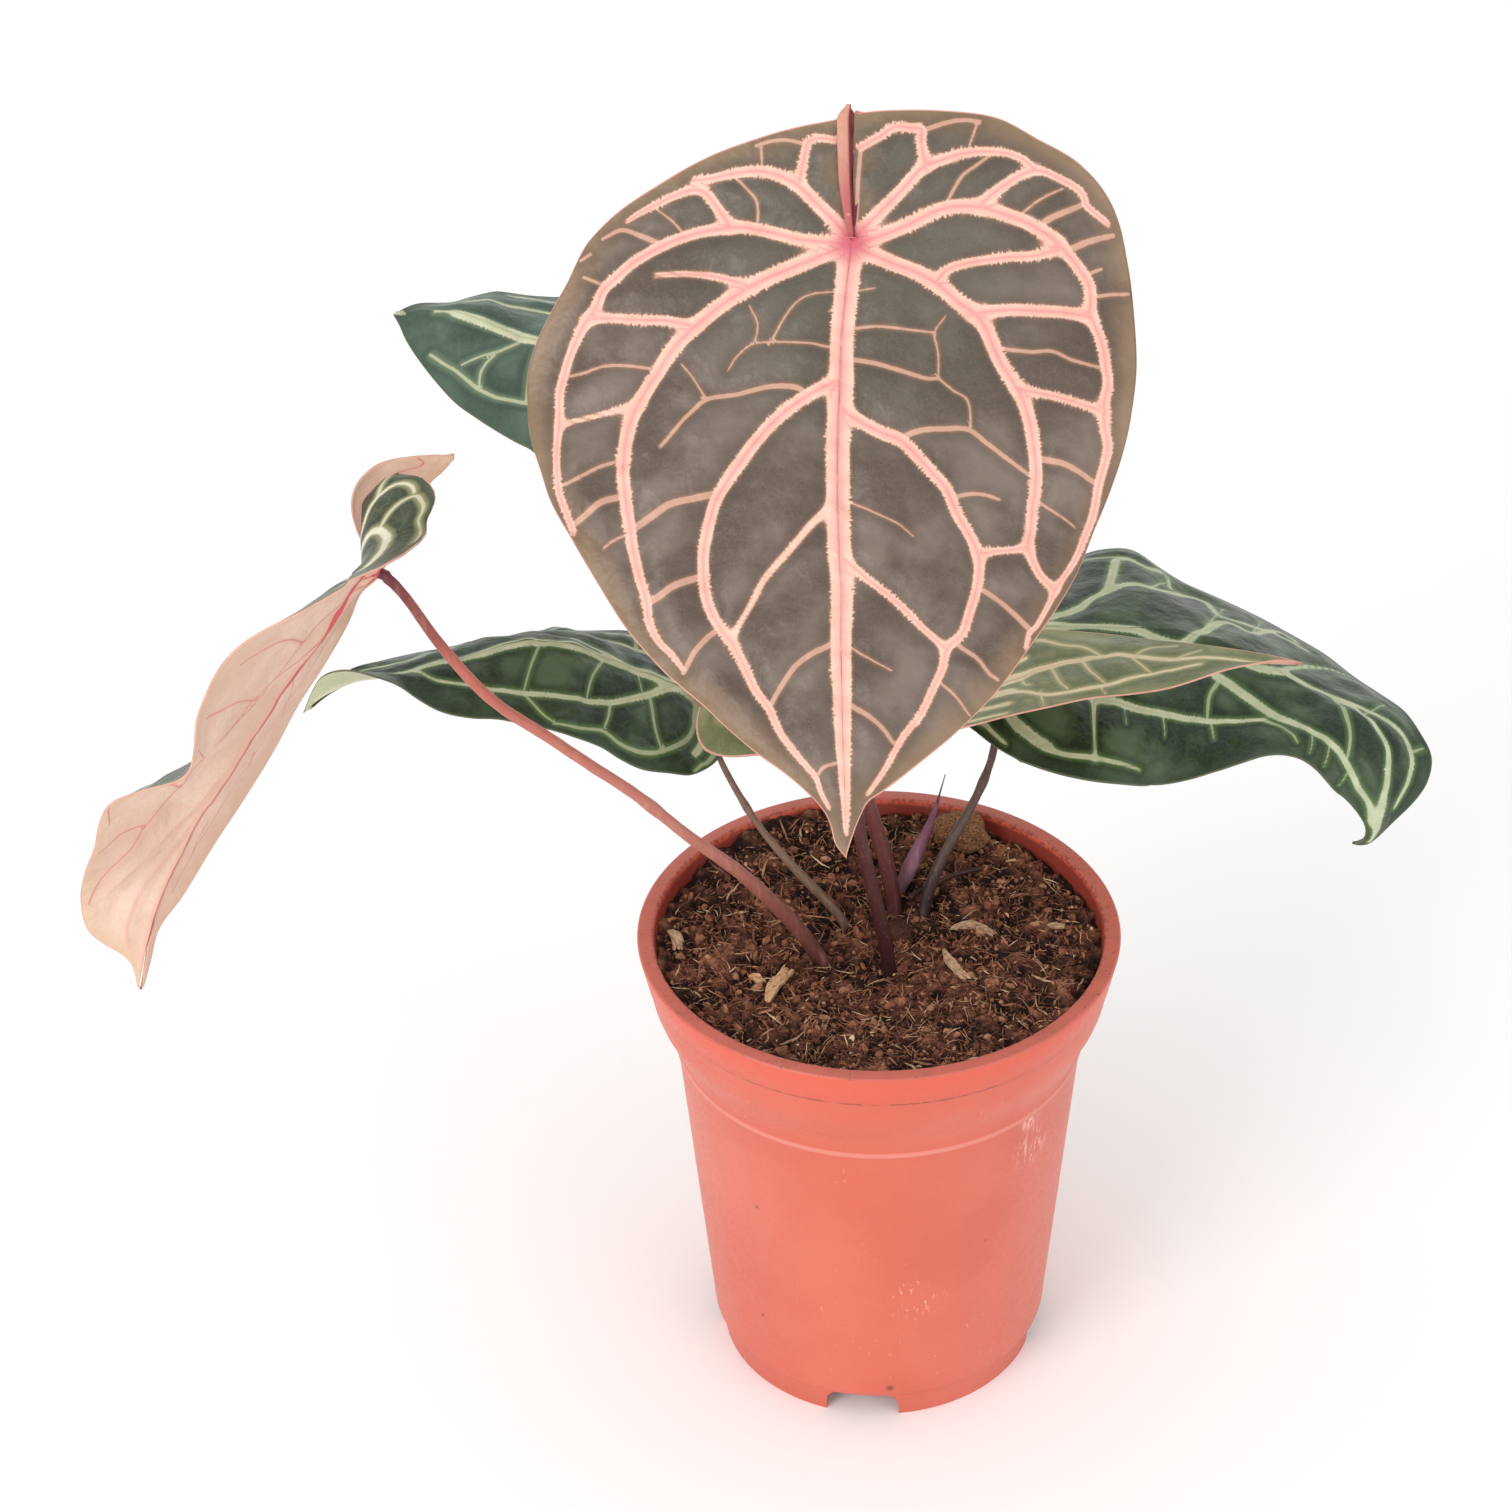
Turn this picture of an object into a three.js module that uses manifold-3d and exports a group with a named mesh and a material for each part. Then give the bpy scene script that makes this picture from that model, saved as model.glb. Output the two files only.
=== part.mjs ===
// Potted anthurium hybrid: a round moulded plastic pot with coir compost, six heart-shaped
// leaves on petioles, a new leaf spike, a dry root and the chips lying on the compost.
// Millimetres, +Z up. The plant is drawn around the pot's axis and then moved so that the
// middle of the whole object's footprint is at the origin, with the pot's feet on z = 0.

import * as THREE from 'three';
import { mergeVertices } from 'three/addons/utils/BufferGeometryUtils.js';
import Module from 'manifold-3d';

const wasm = await Module();
wasm.setup();

// Points closer than this are one point.
const tiny = 1e-4;

// Pot
const rimRadius = 60;
const rimWidth = 4;
const potHeight = 125.5;
const ledgeZ = 116.2;
const ledgeRadius = 58.1;
const ridgeZ = 94;
const ridgeRadius = 50.9;
const ridgeBead = 0.6;
const baseEdgeRadius = 43.2;
const footHeight = 8;
const footRadius = 40.8;
const footWall = 2;
const floorThickness = 1.6;
const wallThickness = 1.3;
const potSegments = 48;
const notchCount = 4;
const notchWidth = 23;
const notchHeight = 7;
const notchTurn = -6;
const drainCount = 4;
const drainRadius = 4.5;
const drainRing = 30;

// Compost, and the gap between touching pieces
const soilLevel = 120.6;
const soilDip = 5.9;
const soilHeap = 3.2;
const soilBumps = 0.35;
const soilSectors = 32;
const soilRings = [48, 41, 34, 27, 20, 13, 6];
const fitGap = 0.3;

// Leaves and stems
const bladeThickness = 0.8;
const bladeRows = 20;
const lobeRows = 5;
const bladeColumns = 5;
const bendSteps = 12;
const stemSides = 8;

// The middle of the whole object's footprint, seen from the pot's axis
const footprintMiddle = [-23.8, 9];

const colours = {
  pot: 0xe8705a,
  soil: 0x4a2f22,
  crown: 0x5b3a30,
  darkLeaf: 0x2f4a33,
  frontLeaf: 0x6a6356,
  backLeaf: 0x4c6657,
  youngLeaf: 0x6f8a5f,
  underLeaf: 0xdcb29e,
  petiole: 0x8a4a45,
  spike: 0x7a5a66,
  root: 0x4a2c28,
  bark: 0x7a5a42,
  chip: 0xc09a6c,
};

// A leaf's outline from the back end of a lobe to the tip, as parts of the midrib's length
// along it and parts of the half width across it.
const heart = [
  [-0.205, 0.1], [-0.185, 0.22], [-0.165, 0.34], [-0.14, 0.5], [-0.1, 0.64], [-0.05, 0.76],
  [0, 0.83], [0.07, 0.91], [0.16, 0.98], [0.25, 1], [0.38, 0.95], [0.5, 0.82], [0.63, 0.66],
  [0.73, 0.47], [0.83, 0.3], [0.9, 0.15], [0.955, 0.05], [1, 0],
];
const broadTip = [
  [-0.205, 0.1], [-0.185, 0.22], [-0.165, 0.34], [-0.14, 0.5], [-0.1, 0.64], [-0.05, 0.76],
  [0, 0.83], [0.07, 0.91], [0.16, 0.98], [0.25, 1], [0.38, 0.95], [0.5, 0.86], [0.63, 0.74],
  [0.73, 0.62], [0.83, 0.44], [0.9, 0.25], [0.955, 0.08], [1, 0],
];
const sinus = [[-0.205, 0.1], [-0.16, 0.04], [-0.08, 0.015], [0, 0]];
const frontLeft = [
  [-0.203, 0.07], [-0.188, 0.19], [-0.167, 0.32], [-0.138, 0.48], [-0.094, 0.63],
  [-0.047, 0.75], [0, 0.83], [0.065, 0.91], [0.13, 0.965], [0.21, 1], [0.29, 0.993],
  [0.37, 0.951], [0.44, 0.875], [0.536, 0.764], [0.623, 0.653], [0.71, 0.479], [0.768, 0.368],
  [0.826, 0.271], [0.877, 0.153], [0.913, 0.076], [0.95, 0.042], [1, 0],
];
const frontRight = [
  [-0.21, 0.22], [-0.203, 0.48], [-0.17, 0.64], [-0.13, 0.8], [-0.08, 0.9], [-0.022, 0.953],
  [0.072, 0.984], [0.196, 1], [0.326, 0.961], [0.4, 0.906], [0.522, 0.789], [0.638, 0.625],
  [0.717, 0.5], [0.783, 0.359], [0.833, 0.219], [0.87, 0.117], [0.899, 0.063], [0.942, 0.028],
  [1, 0],
];
const frontSinusLeft = [[-0.203, 0.07], [-0.188, 0.028], [-0.109, 0.014], [0, 0]];
const frontSinusRight = [[-0.21, 0.22], [-0.207, 0.11], [-0.196, 0.031], [-0.109, 0.01], [0, 0]];

// Each leaf: spine holds points along the midrib, with the joint third, so that two lie
// behind it. At each station, a part of the midrib's length, face points out of the upper
// side, and each half bends down from it by fold, in degrees, and curl, in degrees per
// 10 mm. wave is the margin's height in mm, its count and its phase.
const leaves = {
  leaf_front: {
    colour: colours.frontLeaf,
    spine: [[-6, 18, 342], [-6, 9, 329], [-6, 0, 315], [-7, -22, 290], [-9, -47, 265],
      [-8, -72, 242], [-6, -97, 217]],
    stations: [-0.2, 0, 0.5, 1],
    face: [[0, -0.8, 0.6], [0, -0.8, 0.6], [0, -0.8, 0.6], [0, -0.8, 0.6]],
    left: { half: 72, outline: frontLeft, sinus: frontSinusLeft, fold: [3, 3, 4, 6],
      curl: [1, 1, 1, 1], wave: [2, 2.5, 0.1] },
    right: { half: 64, outline: frontRight, sinus: frontSinusRight, fold: [3, 3, 4, 6],
      curl: [1, 1, 1, 1], wave: [2, 2.5, 0.6] },
  },
  leaf_drooping_left: {
    colour: colours.underLeaf,
    spine: [[-113, -4, 277], [-119, -18, 265], [-114, -32, 250], [-126, -38, 236],
      [-141, -44, 216], [-153, -48, 198], [-163, -52, 179], [-171, -56, 151]],
    lobeLength: 1.2,
    stations: [-0.2, 0, 0.15, 0.3, 0.5, 0.65, 0.8, 1],
    face: [[-0.9, 0.4, 0.1], [-0.9, 0.4, 0.1], [-0.9, 0.4, 0.1], [-0.9, 0.45, 0],
      [-0.9, 0.45, 0], [-0.9, 0.45, -0.1], [-0.9, 0.45, -0.1], [-0.9, 0.45, -0.1]],
    left: { half: 38, outline: heart, sinus, fold: [-5, -10, -10, -10, -10, -10, -12, -15],
      curl: [2, 2, 2, 2, 2, 2, 2, 2], wave: [2, 2, 0.3] },
    right: { half: 44, outline: broadTip, sinus, fold: [60, 30, 12, 6, 2, -12, -45, -65],
      curl: [2, 2, 2, 2, 2, 2, 2, 2], wave: [5, 2, 0.9] },
  },
  leaf_mid_left: {
    colour: colours.darkLeaf,
    spine: [[-22, 38, 153], [-34, 36, 163], [-45, 34, 170], [-67, 30, 185], [-82, 26, 192],
      [-99, 20, 194], [-119, 15, 192], [-140, 11, 182]],
    lobeLength: 0.5,
    stations: [-0.2, 0, 0.15, 0.5, 0.75, 0.88, 1],
    face: [[0, 0, 1], [0, 0, 1], [0, 0, 1], [0, 0, 1], [0, 0.3, 1], [0, 1, 0.3], [0, 1, -0.2]],
    left: { half: 30, outline: heart, sinus, fold: [4, 4, 10, 24, 28, 10, 10],
      curl: [3, 3, 3, 3, 3, 3, 3], wave: [2, 2, 0.3] },
    right: { half: 27, outline: heart, sinus, fold: [25, 25, 25, 25, 25, 20, 10],
      curl: [3, 3, 3, 3, 3, 3, 3], wave: [2, 2, 0.3] },
  },
  leaf_back_left: {
    colour: colours.backLeaf,
    spine: [[-24, 68, 224], [-34, 70, 232], [-44, 72, 238], [-64, 74, 246], [-84, 76, 250],
      [-101, 78, 253], [-120, 80, 254]],
    stations: [-0.2, 0, 0.5, 1],
    face: [[0, -0.1, 1], [0, -0.1, 1], [0, -0.1, 1], [-0.1, -0.2, 1]],
    left: { half: 42, outline: heart, sinus, fold: [12, 12, 12, 12], curl: [2, 2, 2, 2],
      wave: [2, 2, 0.3] },
    right: { half: 42, outline: heart, sinus, fold: [15, 15, 15, 15], curl: [2, 2, 2, 2],
      wave: [2, 2, 0.3] },
  },
  leaf_big_right: {
    colour: colours.darkLeaf,
    spine: [[4, 46, 165], [16, 48, 174], [29, 50, 180], [54, 54, 180], [80, 52, 177],
      [102, 42, 171], [120, 30, 165], [127, 21, 152], [117, 16, 136]],
    lobeLength: 0.8,
    stations: [-0.2, 0, 0.15, 0.5, 0.8, 1],
    face: [[0, 0, 1], [0, 0, 1], [0, 0, 1], [0.2, -0.2, 1], [0.9, -0.5, 0.6], [1, -0.6, 0.3]],
    left: { half: 46, outline: heart, sinus, fold: [12, 12, 12, 12, 12, 12],
      curl: [2, 2, 2, 2, 2, 2], wave: [2, 2, 0.3] },
    right: { half: 50, outline: heart, sinus, fold: [2, 0, 2, 32, -5, -15],
      curl: [2, 2, 2, 2, 0, 0], wave: [2, 2, 0.3] },
  },
  leaf_young_right: {
    colour: colours.youngLeaf,
    spine: [[-44, 12, 171], [-25, 19, 170], [-7, 25, 171], [33, 20, 187], [57, 18, 193],
      [78, 12, 198], [101, 5, 201]],
    lobeLength: 1.55,
    stations: [-0.2, 0, 0.15, 0.5, 0.8, 1],
    face: [[0, 0.1, 1], [0, 0.1, 1], [0, 0.1, 1], [0, 0.1, 1], [0, 0, 1], [0, 0, 1]],
    left: { half: 22, outline: heart, sinus, fold: [-5, -5, -5, -5, -5, -5],
      curl: [2, 2, 2, 2, 2, 2], wave: [1, 2, 0.3] },
    right: { half: 18, outline: heart, sinus, fold: [-5, -5, -5, -2, -2, 0],
      curl: [2, 2, 2, 2, 2, 2], wave: [1, 2, 0.3] },
  },
};

// Petioles: points from inside the compost up to the leaf's joint, with the radius at the
// foot, the middle and the top.
const petioles = {
  petiole_front: { path: [[3, -3, 108], [2, -3, 115], [0, -2, 134], [-5, 0, 157],
    [-6, 10, 243], [-6, 9, 290], [-6, 1.7, 314.4]], radii: [1.9, 1.8, 1.6] },
  petiole_drooping_left: { path: [[-10, 0, 108], [-14, 0, 115], [-27, -4, 137], [-45, -11, 160],
    [-69, -20, 189], [-91, -27, 213], [-106, -31, 241], [-112.7, -31.6, 248.5]],
  radii: [2.1, 1.6, 1.3] },
  petiole_mid_left: { path: [[-6, 13, 108], [-9, 14, 117], [-20, 18, 129], [-33, 25, 143],
    [-39, 30, 153], [-44.5, 34, 167.5]], radii: [1.4, 1.2, 1] },
  petiole_back_left: { path: [[4, 31, 106], [3.6, 32.5, 112], [1, 36, 125], [-3, 41, 135],
    [-9, 50, 158], [-22, 60, 196], [-43, 71.1, 234.8]], radii: [1.8, 1.6, 1.4] },
  petiole_big_right: { path: [[10, 16, 109], [11, 18, 116], [18, 24, 135], [24, 29, 144],
    [29.5, 38, 156], [30, 50, 178.5]], radii: [1.7, 1.3, 1.2] },
  petiole_young_right: { path: [[5, 18, 109], [4, 20, 116], [1, 22, 135], [-3, 24, 148],
    [-7, 25, 170.2]], radii: [2.1, 1.8, 1.4] },
};

// The rolled new leaf in its sheath, and a dead root that lies over the compost.
const spike = {
  path: [[4.5, 27, 108], [4.8, 27, 114], [9.4, 27.5, 129], [13.4, 28, 139], [16.8, 30, 151.5]],
  radii: [1.2, 2, 0.35],
};
const root = {
  path: [[8, 21, 119.4], [12.5, 24.3, 120.2], [18.5, 28, 121.1], [24.5, 30.4, 121.4], [29.5, 31.9, 121.3]],
  radii: [0.8, 0.7, 0.5],
};

// The rhizome's crown stands in the compost; the petioles rise out of it.
const crown = { size: [22, 20, 28], place: [5, 13, 104], turn: 20 };

// Pieces that lie on the compost: length, width, thickness, place and turn. The bark lump is
// sunk into it.
const bark = { size: [14.5, 9, 9], place: [21, 43.6], turn: -30, sunk: 3 };
const chips = {
  chip_front_left: { size: [14, 3.2, 1.4], place: [-24.8, -16.2], turn: 72 },
  chip_left_edge: { size: [7, 3, 1.4], place: [-50.6, -0.5], turn: -67 },
  chip_left_small: { size: [4.4, 2.4, 1.2], place: [-30.2, -12.6], turn: -37 },
  chip_right_curl: { size: [13, 2.2, 1.1], place: [19.8, -4.8], turn: -61 },
  chip_right_arc: { size: [11, 2, 1.1], place: [23.3, 8], turn: -10 },
  chip_right_edge: { size: [5, 2, 1.2], place: [44.2, 6.9], turn: 6 },
};

const degrees = THREE.MathUtils.degToRad;

// The value at a place in a table of [place, value], straight between its rows.
function lookUp(table, at) {
  if (at <= table[0][0]) return table[0][1];
  for (let i = 1; i < table.length; i += 1) {
    const [[from, start], [to, end]] = [table[i - 1], table[i]];
    if (at <= to) return start + ((end - start) * (at - from)) / (to - from);
  }
  return table[table.length - 1][1];
}

const atStation = (leaf, values, x) => lookUp(leaf.stations.map((s, i) => [s, values[i]]), x);

// A smooth curve through a leaf's spine points, at a distance from the joint.
function spineAt({ points, places }, distance) {
  const after = places.findIndex((p) => p > distance);
  const i = after < 0 ? places.length - 2 : Math.max(after - 1, 0);
  const span = places[i + 1] - places[i];
  const u = (distance - places[i]) / span;
  const pull = (k) => {
    const [a, b] = [Math.max(k - 1, 0), Math.min(k + 1, places.length - 1)];
    return points[b].clone().sub(points[a]).multiplyScalar(span / (places[b] - places[a]));
  };
  const mix = (a, b, c, d) => points[i].clone().multiplyScalar(a).addScaledVector(pull(i), b)
    .addScaledVector(points[i + 1], c).addScaledVector(pull(i + 1), d);
  return {
    point: mix(2 * u ** 3 - 3 * u ** 2 + 1, u ** 3 - 2 * u ** 2 + u, 3 * u ** 2 - 2 * u ** 3, u ** 3 - u ** 2),
    tangent: mix(6 * u ** 2 - 6 * u, 3 * u ** 2 - 4 * u + 1, 6 * u - 6 * u ** 2, 3 * u ** 2 - 2 * u)
      .normalize(),
  };
}

function makeSpine(leaf) {
  const points = leaf.spine.map((p) => new THREE.Vector3(...p));
  const lengths = points.map((p, i) => (i === 0 ? 0 : p.distanceTo(points[i - 1])));
  const along = lengths.map((_, i) => lengths.slice(0, i + 1).reduce((a, b) => a + b));
  const places = along.map((p) => p - along[2]);
  return { points, places, length: places[places.length - 1] };
}

// The middle surface of a leaf at s mm along the midrib and t mm across one half.
function bladePoint(leaf, spine, s, t, side) {
  const x = s / spine.length;
  const { point, tangent } = spineAt(spine, s);
  const face = new THREE.Vector3(...[0, 1, 2].map((k) => atStation(leaf, leaf.face.map((f) => f[k]), x)));
  const across = face.cross(tangent).normalize();
  const up = tangent.clone().cross(across);
  const half = leaf[side];
  const fold = degrees(atStation(leaf, half.fold, x));
  const curl = degrees(atStation(leaf, half.curl, x)) / 10;
  let out = 0;
  let down = 0;
  for (let i = 0; i < bendSteps; i += 1) {
    const angle = fold + (curl * t * (i + 0.5)) / bendSteps;
    out += (Math.cos(angle) * t) / bendSteps;
    down += (Math.sin(angle) * t) / bendSteps;
  }
  const [height, count, phase] = half.wave;
  const wave = height * (t / half.half) ** 2 * Math.sin(2 * Math.PI * (count * x + phase));
  return point.addScaledVector(across, side === 'left' ? -out : out).addScaledVector(up, wave - down);
}

// One half as rows of points from the lobe's end to the tip; each row runs from the midrib,
// or from the sinus, to the margin.
function halfRows(leaf, spine, side) {
  const half = leaf[side];
  const lobe = leaf.lobeLength ?? 1;
  const scaled = (table) => table.map(([a, b]) => [a * spine.length * (a < 0 ? lobe : 1), b * half.half]);
  const outline = scaled(half.outline);
  const edge = scaled(half.sinus);
  const rows = [];
  for (let i = 0; i <= bladeRows; i += 1) {
    const s = i < lobeRows
      ? outline[0][0] * (1 - i / lobeRows) ** 1.3
      : (spine.length * (i - lobeRows)) / (bladeRows - lobeRows);
    const outer = lookUp(outline, s);
    const inner = s < 0 ? Math.min(lookUp(edge, s), outer) : 0;
    const row = [];
    for (let j = 0; j <= bladeColumns; j += 1) {
      row.push(bladePoint(leaf, spine, s, inner + ((outer - inner) * j) / bladeColumns, side));
    }
    rows.push(row);
  }
  return rows;
}

// A solid from corners and triangles; corners at one place are joined.
function meshSolid(vertices, faces) {
  const loose = new THREE.BufferGeometry();
  loose.setAttribute('position', new THREE.Float32BufferAttribute(vertices.flat(), 3));
  loose.setIndex(faces.flat());
  const merged = mergeVertices(loose, tiny);
  const index = [...merged.index.array];
  const triVerts = [];
  for (let i = 0; i < index.length; i += 3) {
    const [a, b, c] = index.slice(i, i + 3);
    if (a !== b && b !== c && c !== a) triVerts.push(a, b, c);
  }
  return new wasm.Manifold(new wasm.Mesh({
    numProp: 3,
    vertProperties: new Float32Array(merged.attributes.position.array),
    triVerts: new Uint32Array(triVerts),
  }));
}

function solidFromGeometry(geometry) {
  const flat = geometry.index ? geometry.toNonIndexed() : geometry;
  const p = flat.attributes.position;
  const vertices = [...Array(p.count).keys()].map((i) => [p.getX(i), p.getY(i), p.getZ(i)]);
  const faces = [];
  for (let i = 0; i < p.count; i += 3) faces.push([i, i + 1, i + 2]);
  return meshSolid(vertices, faces);
}

function geometryFromSolid(solid) {
  const { vertProperties, triVerts, numProp } = solid.getMesh();
  const xyz = [];
  for (let i = 0; i < vertProperties.length; i += numProp) xyz.push(...vertProperties.slice(i, i + 3));
  const geometry = new THREE.BufferGeometry();
  geometry.setAttribute('position', new THREE.Float32BufferAttribute(xyz, 3));
  geometry.setIndex([...triVerts]);
  geometry.computeVertexNormals();
  return geometry;
}

// Which way the upper side faces at one point of a half.
function bladeNormal(rows, i, j, side) {
  const last = rows.length - 1;
  const along = rows[Math.min(i + 1, last)][j].clone().sub(rows[Math.max(i - 1, 0)][j]);
  const row = i === 0 || i === last ? rows[Math.abs(i - 1)] : rows[i];
  const across = row[Math.min(j + 1, bladeColumns)].clone().sub(row[Math.max(j - 1, 0)]);
  return (side === 'left' ? across.cross(along) : along.cross(across)).normalize();
}

// A closed blade: its upper and lower sheets lie half a thickness off the middle surface,
// and the two halves share the midrib from the joint to the tip.
function bladeSolid(leaf) {
  const spine = makeSpine(leaf);
  const rows = { left: halfRows(leaf, spine, 'left'), right: halfRows(leaf, spine, 'right') };
  const vertices = [];
  const ids = new Map();
  const vertex = (side, i, column, layer) => {
    const ends = i === 0 || i === bladeRows;
    const j = ends ? 0 : column;
    const shared = i === bladeRows || (j === 0 && i >= lobeRows);
    const key = [shared ? 'both' : side, i, j, layer].join();
    if (!ids.has(key)) {
      const normal = bladeNormal(rows[side], i, j, side);
      if (shared) normal.add(bladeNormal(rows[side === 'left' ? 'right' : 'left'], i, j,
        side === 'left' ? 'right' : 'left')).normalize();
      const p = rows[side][i][j].clone().addScaledVector(normal, (layer * bladeThickness) / 2);
      ids.set(key, vertices.length);
      vertices.push(p.toArray());
    }
    return ids.get(key);
  };
  const faces = [];
  const quad = (corners, flip) => {
    const [a, b, c, d] = (flip ? corners.reverse() : corners).map((corner) => vertex(...corner));
    [[a, b, c], [a, c, d]].forEach((f) => {
      if (new Set(f).size === 3) faces.push(f);
    });
  };
  ['left', 'right'].forEach((side) => {
    const isLeft = side === 'left';
    const edge = (i, j, flip) => {
      quad([[side, i, j, 1], [side, i + 1, j, 1], [side, i + 1, j, -1], [side, i, j, -1]], flip);
    };
    for (let i = 0; i < bladeRows; i += 1) {
      for (let j = 0; j < bladeColumns; j += 1) {
        [1, -1].forEach((layer) => {
          quad([[side, i, j, layer], [side, i + 1, j, layer], [side, i + 1, j + 1, layer],
            [side, i, j + 1, layer]], isLeft !== (layer < 0));
        });
      }
      edge(i, bladeColumns, isLeft);
      if (i < lobeRows) edge(i, 0, !isLeft);
    }
  });
  return meshSolid(vertices, faces);
}

// A round stem that tapers along its path, closed at both ends; extra makes it larger all
// round, for the socket that it stands in.
function stemSolid({ path, radii }, extra = 0) {
  const points = path.map((p) => new THREE.Vector3(...p));
  const last = points.length - 1;
  [[points[0], points[1]], [points[last], points[last - 1]]].forEach(([end, next]) => {
    end.addScaledVector(end.clone().sub(next).normalize(), extra);
  });
  const curve = new THREE.CatmullRomCurve3(points);
  const rings = path.length * 2;
  const frames = curve.computeFrenetFrames(rings, false);
  const vertices = [];
  for (let i = 0; i <= rings; i += 1) {
    const radius = lookUp([[0, radii[0]], [0.5, radii[1]], [1, radii[2]]], i / rings) + extra;
    for (let k = 0; k < stemSides; k += 1) {
      const angle = (k / stemSides) * Math.PI * 2;
      vertices.push(curve.getPointAt(i / rings)
        .addScaledVector(frames.normals[i], Math.cos(angle) * radius)
        .addScaledVector(frames.binormals[i], Math.sin(angle) * radius).toArray());
    }
  }
  const at = (i, k) => i * stemSides + (k % stemSides);
  const faces = [];
  for (let k = 0; k < stemSides; k += 1) {
    for (let i = 0; i < rings; i += 1) {
      faces.push([at(i, k), at(i, k + 1), at(i + 1, k + 1)], [at(i, k), at(i + 1, k + 1), at(i + 1, k)]);
    }
  }
  for (let k = 1; k < stemSides - 1; k += 1) {
    faces.push([at(0, 0), at(0, k + 1), at(0, k)], [at(rings, 0), at(rings, k), at(rings, k + 1)]);
  }
  return meshSolid(vertices, faces);
}

// The pot's shell, turned about its axis, with notches in the foot ring and drain holes.
function potSolid() {
  const floorTop = footHeight + floorThickness;
  const innerBase = baseEdgeRadius - wallThickness;
  const innerRidge = ridgeRadius - wallThickness;
  const innerRim = rimRadius - rimWidth;
  const profile = [
    [0, footHeight], [footRadius - footWall, footHeight], [footRadius - footWall, 0],
    [footRadius, 0], [footRadius + 0.8, footHeight], [baseEdgeRadius - 0.6, footHeight + 0.3],
    [baseEdgeRadius, footHeight + 1.2], [ridgeRadius, ridgeZ - 0.3],
    [ridgeRadius + ridgeBead, ridgeZ + 0.1], [ridgeRadius + ridgeBead, ridgeZ + 1.1],
    [ridgeRadius + 0.3, ridgeZ + 1.6], [innerRim - 0.8, ledgeZ], [ledgeRadius - 0.3, ledgeZ],
    [ledgeRadius, ledgeZ + 0.4], [rimRadius, potHeight - 0.5], [rimRadius - 0.4, potHeight],
    [innerRim + 0.4, potHeight], [innerRim, potHeight - 0.4], [innerRidge + 0.4, ridgeZ + 1.4],
    [innerBase + 0.2, floorTop + 1.4], [innerBase - 0.8, floorTop], [0, floorTop],
  ];
  const shell = new THREE.LatheGeometry(profile.map((p) => new THREE.Vector2(...p)), potSegments);
  shell.rotateX(Math.PI / 2);
  let solid = solidFromGeometry(shell);
  for (let i = 0; i < notchCount; i += 1) {
    const notch = new THREE.BoxGeometry(footWall * 6, notchWidth, notchHeight * 2);
    notch.translate(footRadius, 0, 0);
    notch.rotateZ(degrees(notchTurn - 90 + (360 / notchCount) * i));
    solid = solid.subtract(solidFromGeometry(notch));
  }
  for (let i = 0; i < drainCount; i += 1) {
    const drain = new THREE.CylinderGeometry(drainRadius, drainRadius, floorThickness * 4, 12);
    drain.rotateX(Math.PI / 2);
    drain.translate(drainRing, 0, footHeight + floorThickness / 2);
    drain.rotateZ(degrees(notchTurn - 45 + (360 / drainCount) * i));
    solid = solid.subtract(solidFromGeometry(drain));
  }
  return solid;
}

// The compost's surface: a dip around the petioles, a heap against the wall behind them at the
// left, and low bumps.
function soilHeight(x, y) {
  const dip = soilDip * Math.exp(-((x + 1) ** 2 + (y + 4) ** 2) / 650);
  const heap = soilHeap * Math.exp(-((x + 26) ** 2 + (y - 50) ** 2) / 450);
  return soilLevel - dip + heap + soilBumps * Math.sin(x / 8 + 1) * Math.cos(y / 7);
}

// The compost fills the pot from its floor to its surface, less the cutters.
function soilSolid(cutters) {
  const floor = footHeight + floorThickness + fitGap;
  const innerBase = baseEdgeRadius - wallThickness;
  const wallRadius = (z) => lookUp([
    [floor, innerBase - 1.2], [floor + 2, innerBase - 0.2],
    [ridgeZ, ridgeRadius - wallThickness - 0.1], [potHeight, rimRadius - rimWidth - 0.1]], z) - fitGap;
  const rings = [
    ...[floor, floor + 2, ridgeZ].map((z) => ({ radius: wallRadius(z), z })),
    { radius: wallRadius(soilLevel - 1) },
    ...soilRings.map((radius) => ({ radius })),
  ];
  const vertices = [[0, 0, floor]];
  rings.forEach(({ radius, z }) => {
    for (let k = 0; k < soilSectors; k += 1) {
      const angle = (k / soilSectors) * Math.PI * 2;
      const [x, y] = [radius * Math.cos(angle), radius * Math.sin(angle)];
      vertices.push([x, y, z ?? soilHeight(x, y)]);
    }
  });
  const middle = vertices.push([0, 0, soilHeight(0, 0)]) - 1;
  const at = (i, k) => 1 + i * soilSectors + (k % soilSectors);
  const top = rings.length - 1;
  const faces = [];
  for (let k = 0; k < soilSectors; k += 1) {
    faces.push([0, at(0, k + 1), at(0, k)], [at(top, k), at(top, k + 1), middle]);
    for (let i = 0; i < top; i += 1) {
      faces.push([at(i, k), at(i, k + 1), at(i + 1, k + 1)], [at(i, k), at(i + 1, k + 1), at(i + 1, k)]);
    }
  }
  return cutters.reduce((solid, cutter) => solid.subtract(cutter), meshSolid(vertices, faces));
}

// A rounded lump of a given length, width and height about its own middle.
function lumpGeometry(size, segments, extra = 0) {
  const ball = new THREE.SphereGeometry(0.5, segments, segments - 2);
  ball.rotateX(Math.PI / 2);
  ball.scale(...size.map((length) => length + extra * 2));
  return ball;
}

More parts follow.
